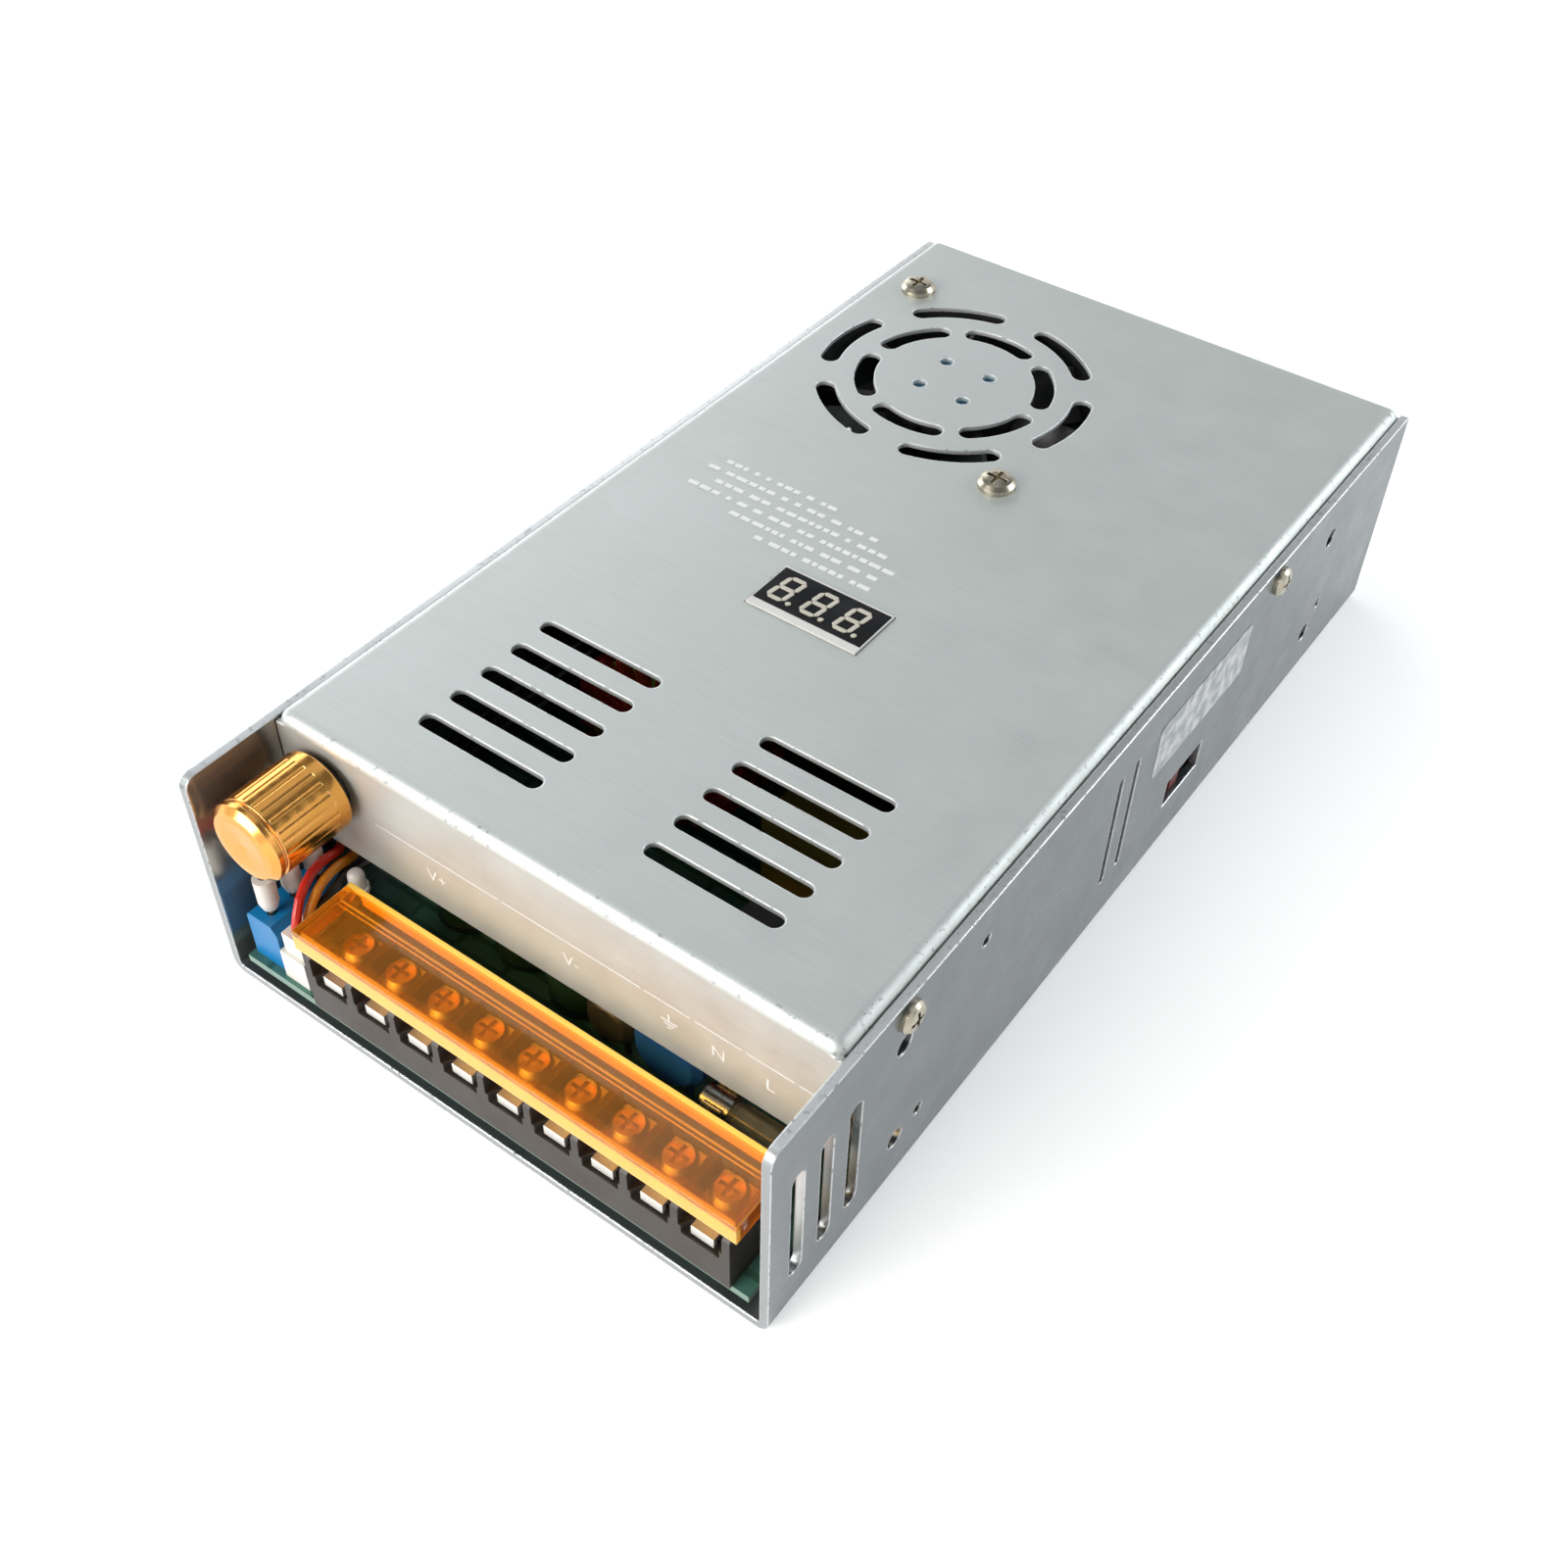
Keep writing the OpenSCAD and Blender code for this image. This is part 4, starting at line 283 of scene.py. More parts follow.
    # Pale edges and faces: partly cut metal, partly painted highlight.
    worn_and_highlit = add(tree, "ShaderNodeMix", {
        0: pale.outputs[0], 6: lined.outputs[0], 7: linear(bright),
    }, data_type="RGBA")
    nick = add(tree, "ShaderNodeMapRange", {0: speck.outputs[0], 1: 0.59, 2: 0.67, 3: 0.0, 4: 0.75})
    nicked = add(tree, "ShaderNodeMath", {0: nick.outputs[0], 1: edge_wear_and_highlight.outputs[0]}, operation="MULTIPLY")
    chipped = add(tree, "ShaderNodeMix", {
        0: nicked.outputs[0], 6: worn_and_highlit.outputs[2], 7: linear("#3c4144"),
    }, data_type="RGBA")
    satin = add(tree, "ShaderNodeMapRange", {
        0: handled.outputs[0], 1: 0.3, 2: 0.7, 3: roughness - 0.05, 4: roughness + 0.06,
    })
    gloss = add(tree, "ShaderNodeMath", {
        0: inside.outputs[0], 1: -0.12, 2: satin.outputs[0],
    }, operation="MULTIPLY_ADD")
    relief = add(tree, "ShaderNodeBump", {
        "Strength": 0.06,
        "Distance": 0.02 * MM,
        "Height": grain.outputs[0],
        "Normal": soft.outputs[0],
    })
    metal = add(tree, "ShaderNodeBsdfPrincipled", {
        "Base Color": chipped.outputs[2],
        "Metallic": metallic,
        "Roughness": gloss.outputs[0],
        "Normal": relief.outputs[0],
    })
    add(tree, "ShaderNodeOutputMaterial", {"Surface": metal.outputs[0]})
    return made


chassis_metal = mill_sheet(
    "rolled_aluminium_sheet", body="#7e8487", bright="#f4f6f7", dull="#757b7e", inner_painted_light="#b2b1ae",
    roughness=0.3, rolled=(1.0, 0.03, 1.0), metallic=0.8, painted_highlight_and_chips_z=40 * MM,
)
dress(chassis_metal, "base_chassis")

# Insulating film and spacers: a polyester sheet keeps the board off the chassis, and nickelled brass spacers
# with pan screws hold the board over it.


def moulded(name, body, deep, roughness, grit, edge_tone=None):
    # Moulded plastic, and pressed, dipped or sleeved parts with as even a skin: a body colour with slight
    # clouding, the tool's fine texture, and softened, slightly paler corners.
    made, tree = blank(name)
    place = add(tree, "ShaderNodeTexCoord").outputs["Object"]
    cloud = add(tree, "ShaderNodeTexNoise", {"Vector": place, "Scale": 1 / (7 * MM), "Detail": 4})
    # The tool's texture is near 0.05 mm; it is drawn coarser so that it shows.
    spark = add(tree, "ShaderNodeTexNoise", {"Vector": place, "Scale": 1 / (grit * MM), "Detail": 3})
    soft = add(tree, "ShaderNodeBevel", {"Radius": 0.25 * MM}, samples=4)
    flat = add(tree, "ShaderNodeNewGeometry")
    turn = add(tree, "ShaderNodeVectorMath", {
        0: soft.outputs[0], 1: flat.outputs["Normal"],
    }, operation="DOT_PRODUCT")
    edge = add(tree, "ShaderNodeMapRange", {0: turn.outputs["Value"], 1: 0.99, 2: 0.8, 3: 0.0, 4: 0.55})
    tone = add(tree, "ShaderNodeMix", {
        0: cloud.outputs[0], 6: linear(deep), 7: linear(body),
    }, data_type="RGBA")
    edge_wear_and_highlight = add(tree, "ShaderNodeMix", {
        0: edge.outputs[0],
        6: tone.outputs[2],
        7: linear(edge_tone or body),
    }, data_type="RGBA")
    gloss = add(tree, "ShaderNodeMapRange", {
        0: cloud.outputs[0], 1: 0.3, 2: 0.7, 3: roughness - 0.05, 4: roughness + 0.06,
    })
    relief = add(tree, "ShaderNodeBump", {
        "Strength": 0.12,
        "Distance": 0.03 * MM,
        "Height": spark.outputs[0],
        "Normal": soft.outputs[0],
    })
    resin = add(tree, "ShaderNodeBsdfPrincipled", {
        "Base Color": edge_wear_and_highlight.outputs[2],
        "Roughness": gloss.outputs[0],
        "IOR": 1.52,
        "Normal": relief.outputs[0],
    })
    add(tree, "ShaderNodeOutputMaterial", {"Surface": resin.outputs[0]})
    return made


def plated(name, body, deep, roughness):
    # Plated or blackened metal: smooth, with small darker blooms and crisp light corners.
    made, tree = blank(name)
    place = add(tree, "ShaderNodeTexCoord").outputs["Object"]
    bloom = add(tree, "ShaderNodeTexNoise", {
        "Vector": place, "Scale": 1 / (1.4 * MM), "Detail": 5, "Roughness": 0.6,
    })
    fine = add(tree, "ShaderNodeTexNoise", {"Vector": place, "Scale": 1 / (0.3 * MM), "Detail": 2})
    soft = add(tree, "ShaderNodeBevel", {"Radius": 0.18 * MM}, samples=4)
    tone = add(tree, "ShaderNodeMix", {
        0: bloom.outputs[0], 6: linear(deep), 7: linear(body),
    }, data_type="RGBA")
    gloss = add(tree, "ShaderNodeMapRange", {
        0: bloom.outputs[0], 1: 0.3, 2: 0.7, 3: roughness + 0.08, 4: roughness - 0.04,
    })
    relief = add(tree, "ShaderNodeBump", {
        "Strength": 0.08,
        "Distance": 0.02 * MM,
        "Height": fine.outputs[0],
        "Normal": soft.outputs[0],
    })
    metal = add(tree, "ShaderNodeBsdfPrincipled", {
        "Base Color": tone.outputs[2],
        "Metallic": 1.0,
        "Roughness": gloss.outputs[0],
        "Normal": relief.outputs[0],
    })
    add(tree, "ShaderNodeOutputMaterial", {"Surface": metal.outputs[0]})
    return made


dress(moulded("milky_polyester_film", "#dfe0d8", "#cfd1c8", 0.35, 0.4), "insulating_film")
nickel = plated("nickelled_brass", "#d9d6cc", "#a9a59a", 0.24)
zinc_screw = plated("zinc_plated_screw", "#d4cebe", "#8e8672", 0.27)
dress(nickel, "board_standoffs")
dress(zinc_screw, "board_screws")

# Circuit boards: the main board on its spacers, the meter's and the controller's. They are glass and epoxy
# laminate with etched copper tracks under green solder mask, and their edges are cut pale.


def laminate(name, mask, track, edge_tone):
    # Solder mask: glossy green, a little lighter over the copper tracks, with the cut edge yellowish.
    made, tree = blank(name)
    place = add(tree, "ShaderNodeTexCoord").outputs["Object"]
    # The tracks are a plain pattern of strips about 11 mm long and 4 mm apart.
    tracks = add(tree, "ShaderNodeTexBrick", {
        "Vector": place,
        "Color1": (1, 1, 1, 1),
        "Color2": (0.8, 0.8, 0.8, 1),
        "Mortar": (0, 0, 0, 1),
        "Scale": 1 / (12 * MM),
        "Mortar Size": 0.05,
        "Brick Width": 0.9,
        "Row Height": 0.32,
    })
    weave = add(tree, "ShaderNodeTexNoise", {"Vector": place, "Scale": 1 / (0.8 * MM), "Detail": 3})
    flat = add(tree, "ShaderNodeNewGeometry")
    side = add(tree, "ShaderNodeSeparateXYZ", {0: flat.outputs["Normal"]})
    level_face = add(tree, "ShaderNodeMath", {0: side.outputs[2]}, operation="ABSOLUTE")
    pale = add(tree, "ShaderNodeMapRange", {0: level_face.outputs[0], 1: 0.7, 2: 0.5, 3: 0.0, 4: 0.8})
    tone = add(tree, "ShaderNodeMix", {
        0: tracks.outputs[0], 6: linear(mask), 7: linear(track),
    }, data_type="RGBA")
    cut = add(tree, "ShaderNodeMix", {
        0: pale.outputs[0], 6: tone.outputs[2], 7: linear(edge_tone),
    }, data_type="RGBA")
    gloss = add(tree, "ShaderNodeMapRange", {0: weave.outputs[0], 1: 0.3, 2: 0.7, 3: 0.28, 4: 0.42})
    relief = add(tree, "ShaderNodeBump", {
        "Strength": 0.2, "Distance": 0.05 * MM, "Height": tracks.outputs[0],
    })
    board = add(tree, "ShaderNodeBsdfPrincipled", {
        "Base Color": cut.outputs[2],
        "Roughness": gloss.outputs[0],
        "IOR": 1.55,
        "Normal": relief.outputs[0],
    })
    add(tree, "ShaderNodeOutputMaterial", {"Surface": board.outputs[0]})
    return made


green_board = laminate("green_solder_mask", "#2f5a4c", "#47776a", "#7f9c8d")
dress(green_board, "circuit_board", "meter_board", "controller_board")

# Power parts on the board: line choke, film, disc and can capacitors, varistor, thermistor, fuse, bridge,
# transformer and output choke, soldered by their legs; the packages are screwed to aluminium heat sinks.


def enamelled(name, body, deep):
    # Enamelled copper wire: a clear lacquer over metal, darker between the turns.
    made, tree = blank(name)
    place = add(tree, "ShaderNodeTexCoord").outputs["Object"]
    bloom = add(tree, "ShaderNodeTexNoise", {"Vector": place, "Scale": 1 / (2.5 * MM), "Detail": 4})
    tone = add(tree, "ShaderNodeMix", {
        0: bloom.outputs[0], 6: linear(deep), 7: linear(body),
    }, data_type="RGBA")
    gloss = add(tree, "ShaderNodeMapRange", {0: bloom.outputs[0], 1: 0.3, 2: 0.7, 3: 0.22, 4: 0.34})
    relief = add(tree, "ShaderNodeBump", {
        "Strength": 0.15, "Distance": 0.1 * MM, "Height": bloom.outputs[0],
    })
    wire = add(tree, "ShaderNodeBsdfPrincipled", {
        "Base Color": tone.outputs[2],
        "Metallic": 0.7,
        "Roughness": gloss.outputs[0],
        "Coat Weight": 0.5,
        "Normal": relief.outputs[0],
    })
    add(tree, "ShaderNodeOutputMaterial", {"Surface": wire.outputs[0]})
    return made


ferrite = moulded("sintered_ferrite", "#4b4b4d", "#38383a", 0.5, 0.5, "#6a6a6c")
dress(ferrite, "line_choke_core", "transformer_core")
dress(enamelled("enamelled_copper", "#c2553a", "#8e2f22"), "line_choke_windings", "fan_stator")
dress(enamelled("red_enamelled_copper", "#d8482c", "#a82a1c"), "output_choke_winding")
dress(moulded("coated_iron_powder", "#8c9a3c", "#74822c", 0.55, 0.6), "output_choke_core")
dress(moulded("film_capacitor_box", "#8a7d33", "#766b28", 0.4, 0.4), "film_capacitor")
dress(moulded("blue_dipped_ceramic", "#1a52b4", "#134092", 0.35, 0.7), "disc_capacitors", "varistor")
dress(moulded("dark_dipped_ceramic", "#2c2d2b", "#1d1e1d", 0.45, 0.7), "thermistor")
epoxy_package = moulded("filled_epoxy_package", "#2b2b2c", "#202021", 0.5, 0.35, "#434344")
dress(epoxy_package, "bridge_rectifier", "output_rectifiers", "switching_transistors")
dress(moulded("shrunk_sleeve_dark", "#26303a", "#1b232b", 0.3, 0.8), "bulk_capacitors")
dress(moulded("shrunk_sleeve_green", "#1c3a2c", "#142a20", 0.3, 0.8), "output_capacitors")
dress(moulded("polyester_coil_tape", "#d2b33c", "#bb9b2c", 0.35, 0.5), "transformer_coil")
# The bars are given a darker grey than bare aluminium: painted shade, so the slits in the wall read dark.
sawn_bar = mill_sheet(
    "sawn_aluminium_bar_painted_shade", body="#74787b", bright="#9a9ea0", dull="#686c6f", inner_painted_light="#74787b",
    roughness=0.42, rolled=(1.0, 0.05, 1.0), metallic=0.9,
)
dress(sawn_bar, "left_heat_sink", "right_heat_sink")
dress(plated("tinned_brass", "#e4e4df", "#b9b9b2", 0.22), "fuse_clips")
dress(nickel, "fuse_caps")

# Drawn glass: clear and faintly green, with a slight haze, so the fuse's caps show brighter than its tube.
glass, tree = blank("soda_glass_tube")
place = add(tree, "ShaderNodeTexCoord").outputs["Object"]
haze = add(tree, "ShaderNodeTexNoise", {"Vector": place, "Scale": 1 / (3 * MM), "Detail": 2})
blur = add(tree, "ShaderNodeMapRange", {0: haze.outputs[0], 1: 0.3, 2: 0.7, 3: 0.02, 4: 0.08})
tube = add(tree, "ShaderNodeBsdfPrincipled", {
    "Base Color": linear("#eef4f2"),
    "Roughness": blur.outputs[0],
    "IOR": 1.5,
    "Transmission Weight": 0.9,
})
add(tree, "ShaderNodeOutputMaterial", {"Surface": tube.outputs[0]})
dress(glass, "fuse_tube")

# Terminal strip: a black moulded block with a rib between each two ways, tinned plates from the board, and
# square zinc plated clamps under yellow passivated screws.
dress(moulded("black_glass_filled_resin", "#38302a", "#2c2621", 0.45, 0.3, "#655b52"), "terminal_block")
dress(plated("bright_tin_plate", "#fafaf6", "#e6e6e0", 0.45), "terminal_plates")
dress(plated("zinc_plated_clamp", "#d8d4c6", "#a29c88", 0.28), "terminal_clamps")
dress(plated("yellow_passivated_screw", "#f2e6c8", "#cdb684", 0.3), "terminal_screws")

# Flip lid: a tray of clear amber plastic 1 mm thick, moulded in one with the ears that turn on the strip's
# pegs. Its rims are painted a pale yellow with a faint glow and pass less light, painted light standing in for
# the light the plastic carries out at its edges, while the flat faces stay orange.
amber, tree = blank("clear_amber_polycarbonate")
place = add(tree, "ShaderNodeTexCoord").outputs["Object"]
flow = add(tree, "ShaderNodeTexNoise", {"Vector": place, "Scale": 1 / (6 * MM), "Detail": 3})
scuff = add(tree, "ShaderNodeTexNoise", {"Vector": place, "Scale": 1 / (0.5 * MM), "Detail": 4})
soft = add(tree, "ShaderNodeBevel", {"Radius": 0.5 * MM}, samples=4)
flat = add(tree, "ShaderNodeNewGeometry")
turn = add(tree, "ShaderNodeVectorMath", {
    0: soft.outputs[0], 1: flat.outputs["Normal"],
}, operation="DOT_PRODUCT")
edge = add(tree, "ShaderNodeMapRange", {0: turn.outputs["Value"], 1: 0.99, 2: 0.8, 3: 0.0, 4: 0.7})
lid_low, lid_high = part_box("terminal_lid")
lid_middle = (lid_low.x + lid_high.x) / 2
half_lid = (lid_high.x - lid_low.x) / 2
front_wall = lid_low.y + 1 * MM
rear_wall = lid_low.y + 12 * MM
across = add(tree, "ShaderNodeSeparateXYZ", {0: place})
below = add(tree, "ShaderNodeMapRange", {
    0: across.outputs[2], 1: lid_high.z - 0.6 * MM, 2: lid_high.z - 1.2 * MM, 3: 0.0, 4: 0.75,
})
front = add(tree, "ShaderNodeMapRange", {
    0: across.outputs[1], 1: front_wall + 0.1 * MM, 2: front_wall - 0.3 * MM, 3: 0.0, 4: below.outputs[0],
})
rear = add(tree, "ShaderNodeMapRange", {
    0: across.outputs[1], 1: rear_wall - 0.1 * MM, 2: rear_wall + 0.1 * MM, 3: 0.0, 4: 1.0,
})
walls = add(tree, "ShaderNodeMath", {0: front.outputs[0], 1: rear.outputs[0]}, operation="MAXIMUM")
rim_painted_light = add(tree, "ShaderNodeMath", {0: walls.outputs[0], 1: edge.outputs[0]}, operation="MAXIMUM")
# Behind the front wall and at both ends the eye looks along the plastic; there it is painted a deeper orange
# and passes less light, a painted shade for the longer path through the plastic.
sideways = add(tree, "ShaderNodeMath", {0: across.outputs[0], 1: lid_middle}, operation="SUBTRACT")
reach = add(tree, "ShaderNodeMath", {0: sideways.outputs[0]}, operation="ABSOLUTE")
ends = add(tree, "ShaderNodeMapRange", {
    0: reach.outputs[0], 1: half_lid - 3.2 * MM, 2: half_lid - 1.6 * MM, 3: 0.0, 4: 0.7,
})
foot = add(tree, "ShaderNodeMapRange", {
    0: across.outputs[1], 1: front_wall + 1.6 * MM, 2: front_wall + 0.5 * MM, 3: 0.0, 4: 0.7,
})
deep = add(tree, "ShaderNodeMath", {0: ends.outputs[0], 1: foot.outputs[0]}, operation="MAXIMUM")
tone = add(tree, "ShaderNodeMix", {
    0: flow.outputs[0], 6: linear("#fbac36"), 7: linear("#ffbe4c"),
}, data_type="RGBA")
# Painted shade: a deeper orange where the eye looks along the plastic.
orange = add(tree, "ShaderNodeMix", {
    0: deep.outputs[0], 6: tone.outputs[2], 7: linear("#dc7f1a"),
}, data_type="RGBA")
# Painted light: the rims take a pale yellow colour and, below, a faint painted glow.
lit = add(tree, "ShaderNodeMix", {
    0: rim_painted_light.outputs[0], 6: orange.outputs[2], 7: linear("#ffde62"),
}, data_type="RGBA")
gloss = add(tree, "ShaderNodeMapRange", {0: scuff.outputs[0], 1: 0.35, 2: 0.7, 3: 0.03, 4: 0.1})
glow = add(tree, "ShaderNodeMath", {0: rim_painted_light.outputs[0], 1: 0.08}, operation="MULTIPLY")
clear = add(tree, "ShaderNodeMapRange", {0: rim_painted_light.outputs[0], 1: 0.0, 2: 1.0, 3: 0.9, 4: 0.25})
clarity = add(tree, "ShaderNodeMath", {
    0: deep.outputs[0], 1: -0.2, 2: clear.outputs[0],
}, operation="MULTIPLY_ADD")
relief = add(tree, "ShaderNodeBump", {
    "Strength": 0.01,
    "Distance": 0.05 * MM,
    "Height": flow.outputs[0],
    "Normal": soft.outputs[0],
})
resin = add(tree, "ShaderNodeBsdfPrincipled", {
    "Base Color": lit.outputs[2],
    "Roughness": gloss.outputs[0],
    "IOR": 1.5,
    "Transmission Weight": clarity.outputs[0],
    "Emission Color": linear("#ffd24a"),
    "Emission Strength": glow.outputs[0],
    "Normal": relief.outputs[0],
})
# Light on its way to the strip passes through with a faint tint, so that the screws under the lid are lit.
ray = add(tree, "ShaderNodeLightPath")
passing = add(tree, "ShaderNodeBsdfTransparent", {"Color": linear("#ffeec0")})
shade = add(tree, "ShaderNodeMixShader", {
    0: ray.outputs["Is Shadow Ray"], 1: resin.outputs[0], 2: passing.outputs[0],
})
add(tree, "ShaderNodeOutputMaterial", {"Surface": shade.outputs[0]})
dress(amber, "terminal_lid")

# Front left connectors, soldered to the board: a blue three-way screw terminal that takes the meter's leads in
# white crimped collars, a white plug for the potentiometer's leads, and a small clear lamp.


def insulation(name, body, deep):
    # Extruded PVC: smooth and slightly waxy, with faint lengthwise shading.
    made, tree = blank(name)
    place = add(tree, "ShaderNodeTexCoord").outputs["Object"]
    cloud = add(tree, "ShaderNodeTexNoise", {"Vector": place, "Scale": 1 / (4 * MM), "Detail": 4})
    fine = add(tree, "ShaderNodeTexNoise", {"Vector": place, "Scale": 1 / (0.4 * MM), "Detail": 2})
    tone = add(tree, "ShaderNodeMix", {
        0: cloud.outputs[0], 6: linear(deep), 7: linear(body),
    }, data_type="RGBA")
    gloss = add(tree, "ShaderNodeMapRange", {0: cloud.outputs[0], 1: 0.3, 2: 0.7, 3: 0.3, 4: 0.42})
    relief = add(tree, "ShaderNodeBump", {
        "Strength": 0.08, "Distance": 0.03 * MM, "Height": fine.outputs[0],
    })
    jacket = add(tree, "ShaderNodeBsdfPrincipled", {
        "Base Color": tone.outputs[2],
        "Roughness": gloss.outputs[0],
        "IOR": 1.53,
        "Coat Weight": 0.15,
        "Normal": relief.outputs[0],
    })
    add(tree, "ShaderNodeOutputMaterial", {"Surface": jacket.outputs[0]})
    return made


dress(moulded("blue_polyamide", "#0f86c8", "#0a70ac", 0.34, 0.3, "#38a8e0"), "meter_terminal")
white_polyamide = moulded("white_polyamide", "#f1efe9", "#e2e0d8", 0.4, 0.3, "#ffffff")
dress(white_polyamide, "meter_ferrules", "pot_plug", "fan_plug")
dress(plated("tinned_copper", "#e0b48c", "#b07c54", 0.3), "ferrule_tips")
dress(insulation("red_pvc", "#d8301f", "#b82116"), "pot_lead_red", "fan_lead_red")
dress(insulation("orange_yellow_pvc", "#e89a2a", "#cc7f1a"), "pot_lead_yellow")
dress(insulation("black_pvc", "#222224", "#161617"), "pot_lead_black", "fan_lead_black", "meter_leads")

# Cast epoxy: clear but slightly milky, so the unlit lamp reads as a pale bead.
lens, tree = blank("clear_epoxy_lamp")
place = add(tree, "ShaderNodeTexCoord").outputs["Object"]
cloud = add(tree, "ShaderNodeTexNoise", {"Vector": place, "Scale": 1 / (1.2 * MM), "Detail": 3})
blur = add(tree, "ShaderNodeMapRange", {0: cloud.outputs[0], 1: 0.3, 2: 0.7, 3: 0.05, 4: 0.15})
tone = add(tree, "ShaderNodeMix", {
    0: cloud.outputs[0], 6: linear("#f4f6f4"), 7: linear("#ffffff"),
}, data_type="RGBA")
epoxy = add(tree, "ShaderNodeBsdfPrincipled", {
    "Base Color": tone.outputs[2],
    "Roughness": blur.outputs[0],
    "IOR": 1.5,
    "Transmission Weight": 0.45,
})
add(tree, "ShaderNodeOutputMaterial", {"Surface": epoxy.outputs[0]})
dress(lens, "power_lamp")

# Potentiometer and knob: a black steel can with a threaded bush and a black nut through the lip, and a fluted
# knob turned from aluminium and anodised gold, held by a set screw.
dress(plated("blackened_steel", "#4a4b4d", "#343537", 0.34), "pot_body", "pot_nut", "knob_set_screw")
dress(nickel, "pot_shaft")

# Gold anodising: a warm clear colour over turned metal, with a painted pale highlight along every flute's
# corner.
gold, tree = blank("gold_anodised_aluminium_turned")
knob_low, knob_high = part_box("control_knob")
knob_middle = (knob_low + knob_high) / 2
place = add(tree, "ShaderNodeTexCoord").outputs["Object"]
centred = add(tree, "ShaderNodeMapping", {"Vector": place, "Location": -knob_middle})
# Feed lines of the lathe run round the axis, about 0.12 mm apart; they are drawn 2.5 mm apart so that they
# show. A wave of scale 1 repeats every 2 pi / 20.
feed = add(tree, "ShaderNodeTexWave", {
    "Vector": centred.outputs[0],
    "Scale": 2 * math.pi / 20 / (2.5 * MM),
    "Distortion": 1.5,
    "Detail": 2,
}, wave_type="BANDS", bands_direction="Y")
cloud = add(tree, "ShaderNodeTexNoise", {"Vector": centred.outputs[0], "Scale": 1 / (5 * MM), "Detail": 4})
soft = add(tree, "ShaderNodeBevel", {"Radius": 0.3 * MM}, samples=4)
flat = add(tree, "ShaderNodeNewGeometry")
turn = add(tree, "ShaderNodeVectorMath", {
    0: soft.outputs[0], 1: flat.outputs["Normal"],
}, operation="DOT_PRODUCT")
edge = add(tree, "ShaderNodeMapRange", {0: turn.outputs["Value"], 1: 0.99, 2: 0.82, 3: 0.0, 4: 0.7})
tone = add(tree, "ShaderNodeMix", {
    0: cloud.outputs[0], 6: linear("#eda64e"), 7: linear("#f8b664"),
}, data_type="RGBA")
# Painted highlight: the flutes' corners take a pale gold colour.
edge_wear_and_highlight = add(tree, "ShaderNodeMix", {
    0: edge.outputs[0], 6: tone.outputs[2], 7: linear("#f6dca0"),
}, data_type="RGBA")
gloss = add(tree, "ShaderNodeMapRange", {0: feed.outputs[1], 1: 0.0, 2: 1.0, 3: 0.16, 4: 0.22})
relief = add(tree, "ShaderNodeBump", {
    "Strength": 0.03,
    "Distance": 0.02 * MM,
    "Height": feed.outputs[1],
    "Normal": soft.outputs[0],
})
metal = add(tree, "ShaderNodeBsdfPrincipled", {
    "Base Color": edge_wear_and_highlight.outputs[2],
    "Metallic": 1.0,
    "Roughness": gloss.outputs[0],
    "Normal": relief.outputs[0],
})
add(tree, "ShaderNodeOutputMaterial", {"Surface": metal.outputs[0]})
dress(gold, "control_knob")

# Selector: a slide switch of dark moulded phenolic, held behind a window in the right wall. Its red slider is
# moulded too and is pushed across by a blade.
dress(moulded("dark_phenolic", "#35201c", "#241512", 0.45, 0.4), "selector_body")
dress(moulded("red_polyamide", "#7e2b20", "#642119", 0.4, 0.4, "#a04a3a"), "selector_slider")

# Fan: a glass filled frame and a rotor of the same black resin, hung under the cover; a printed paper label
# covers the hub.
fan_resin = moulded("black_pbt_resin", "#2a2b2c", "#1c1d1e", 0.45, 0.4, "#4a4b4d")
dress(fan_resin, "fan_frame", "fan_rotor")


def piece(name, shape, finish, body):
    made = bpy.data.objects.new(name, bpy.data.meshes.new(name))
    shape.to_mesh(made.data)
    shape.free()
    made.data.materials.append(finish)
    scene.collection.objects.link(made)
    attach(made, body)


# Coated paper with a blue ink film: half gloss, mottled where the ink lies thin.
label_paper, tree = blank("printed_blue_label")
place = add(tree, "ShaderNodeTexCoord").outputs["Object"]
mottle = add(tree, "ShaderNodeTexNoise", {"Vector": place, "Scale": 1 / (2 * MM), "Detail": 4})
tone = add(tree, "ShaderNodeMix", {
    0: mottle.outputs[0], 6: linear("#8fd6fa"), 7: linear("#b4e6ff"),
}, data_type="RGBA")
gloss = add(tree, "ShaderNodeMapRange", {0: mottle.outputs[0], 1: 0.3, 2: 0.7, 3: 0.35, 4: 0.5})
ink = add(tree, "ShaderNodeBsdfPrincipled", {
    "Base Color": tone.outputs[2], "Roughness": gloss.outputs[0], "IOR": 1.5,
})
add(tree, "ShaderNodeOutputMaterial", {"Surface": ink.outputs[0]})
rotor_low, rotor_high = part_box("fan_rotor")
hub_middle = (rotor_low + rotor_high) / 2
label_r = 11.5 * MM
label_t = 0.25 * MM
disc = bmesh.new()
bmesh.ops.create_circle(disc, cap_ends=True, radius=label_r, segments=64)
bmesh.ops.solidify(disc, geom=disc.faces[:], thickness=label_t)
bmesh.ops.recalc_face_normals(disc, faces=disc.faces)
lowest = min(v.co.z for v in disc.verts)
bmesh.ops.translate(disc, vec=(hub_middle.x, hub_middle.y, rotor_high.z - lowest), verts=disc.verts)
piece("fan_hub_label", disc, label_paper, "rotor")

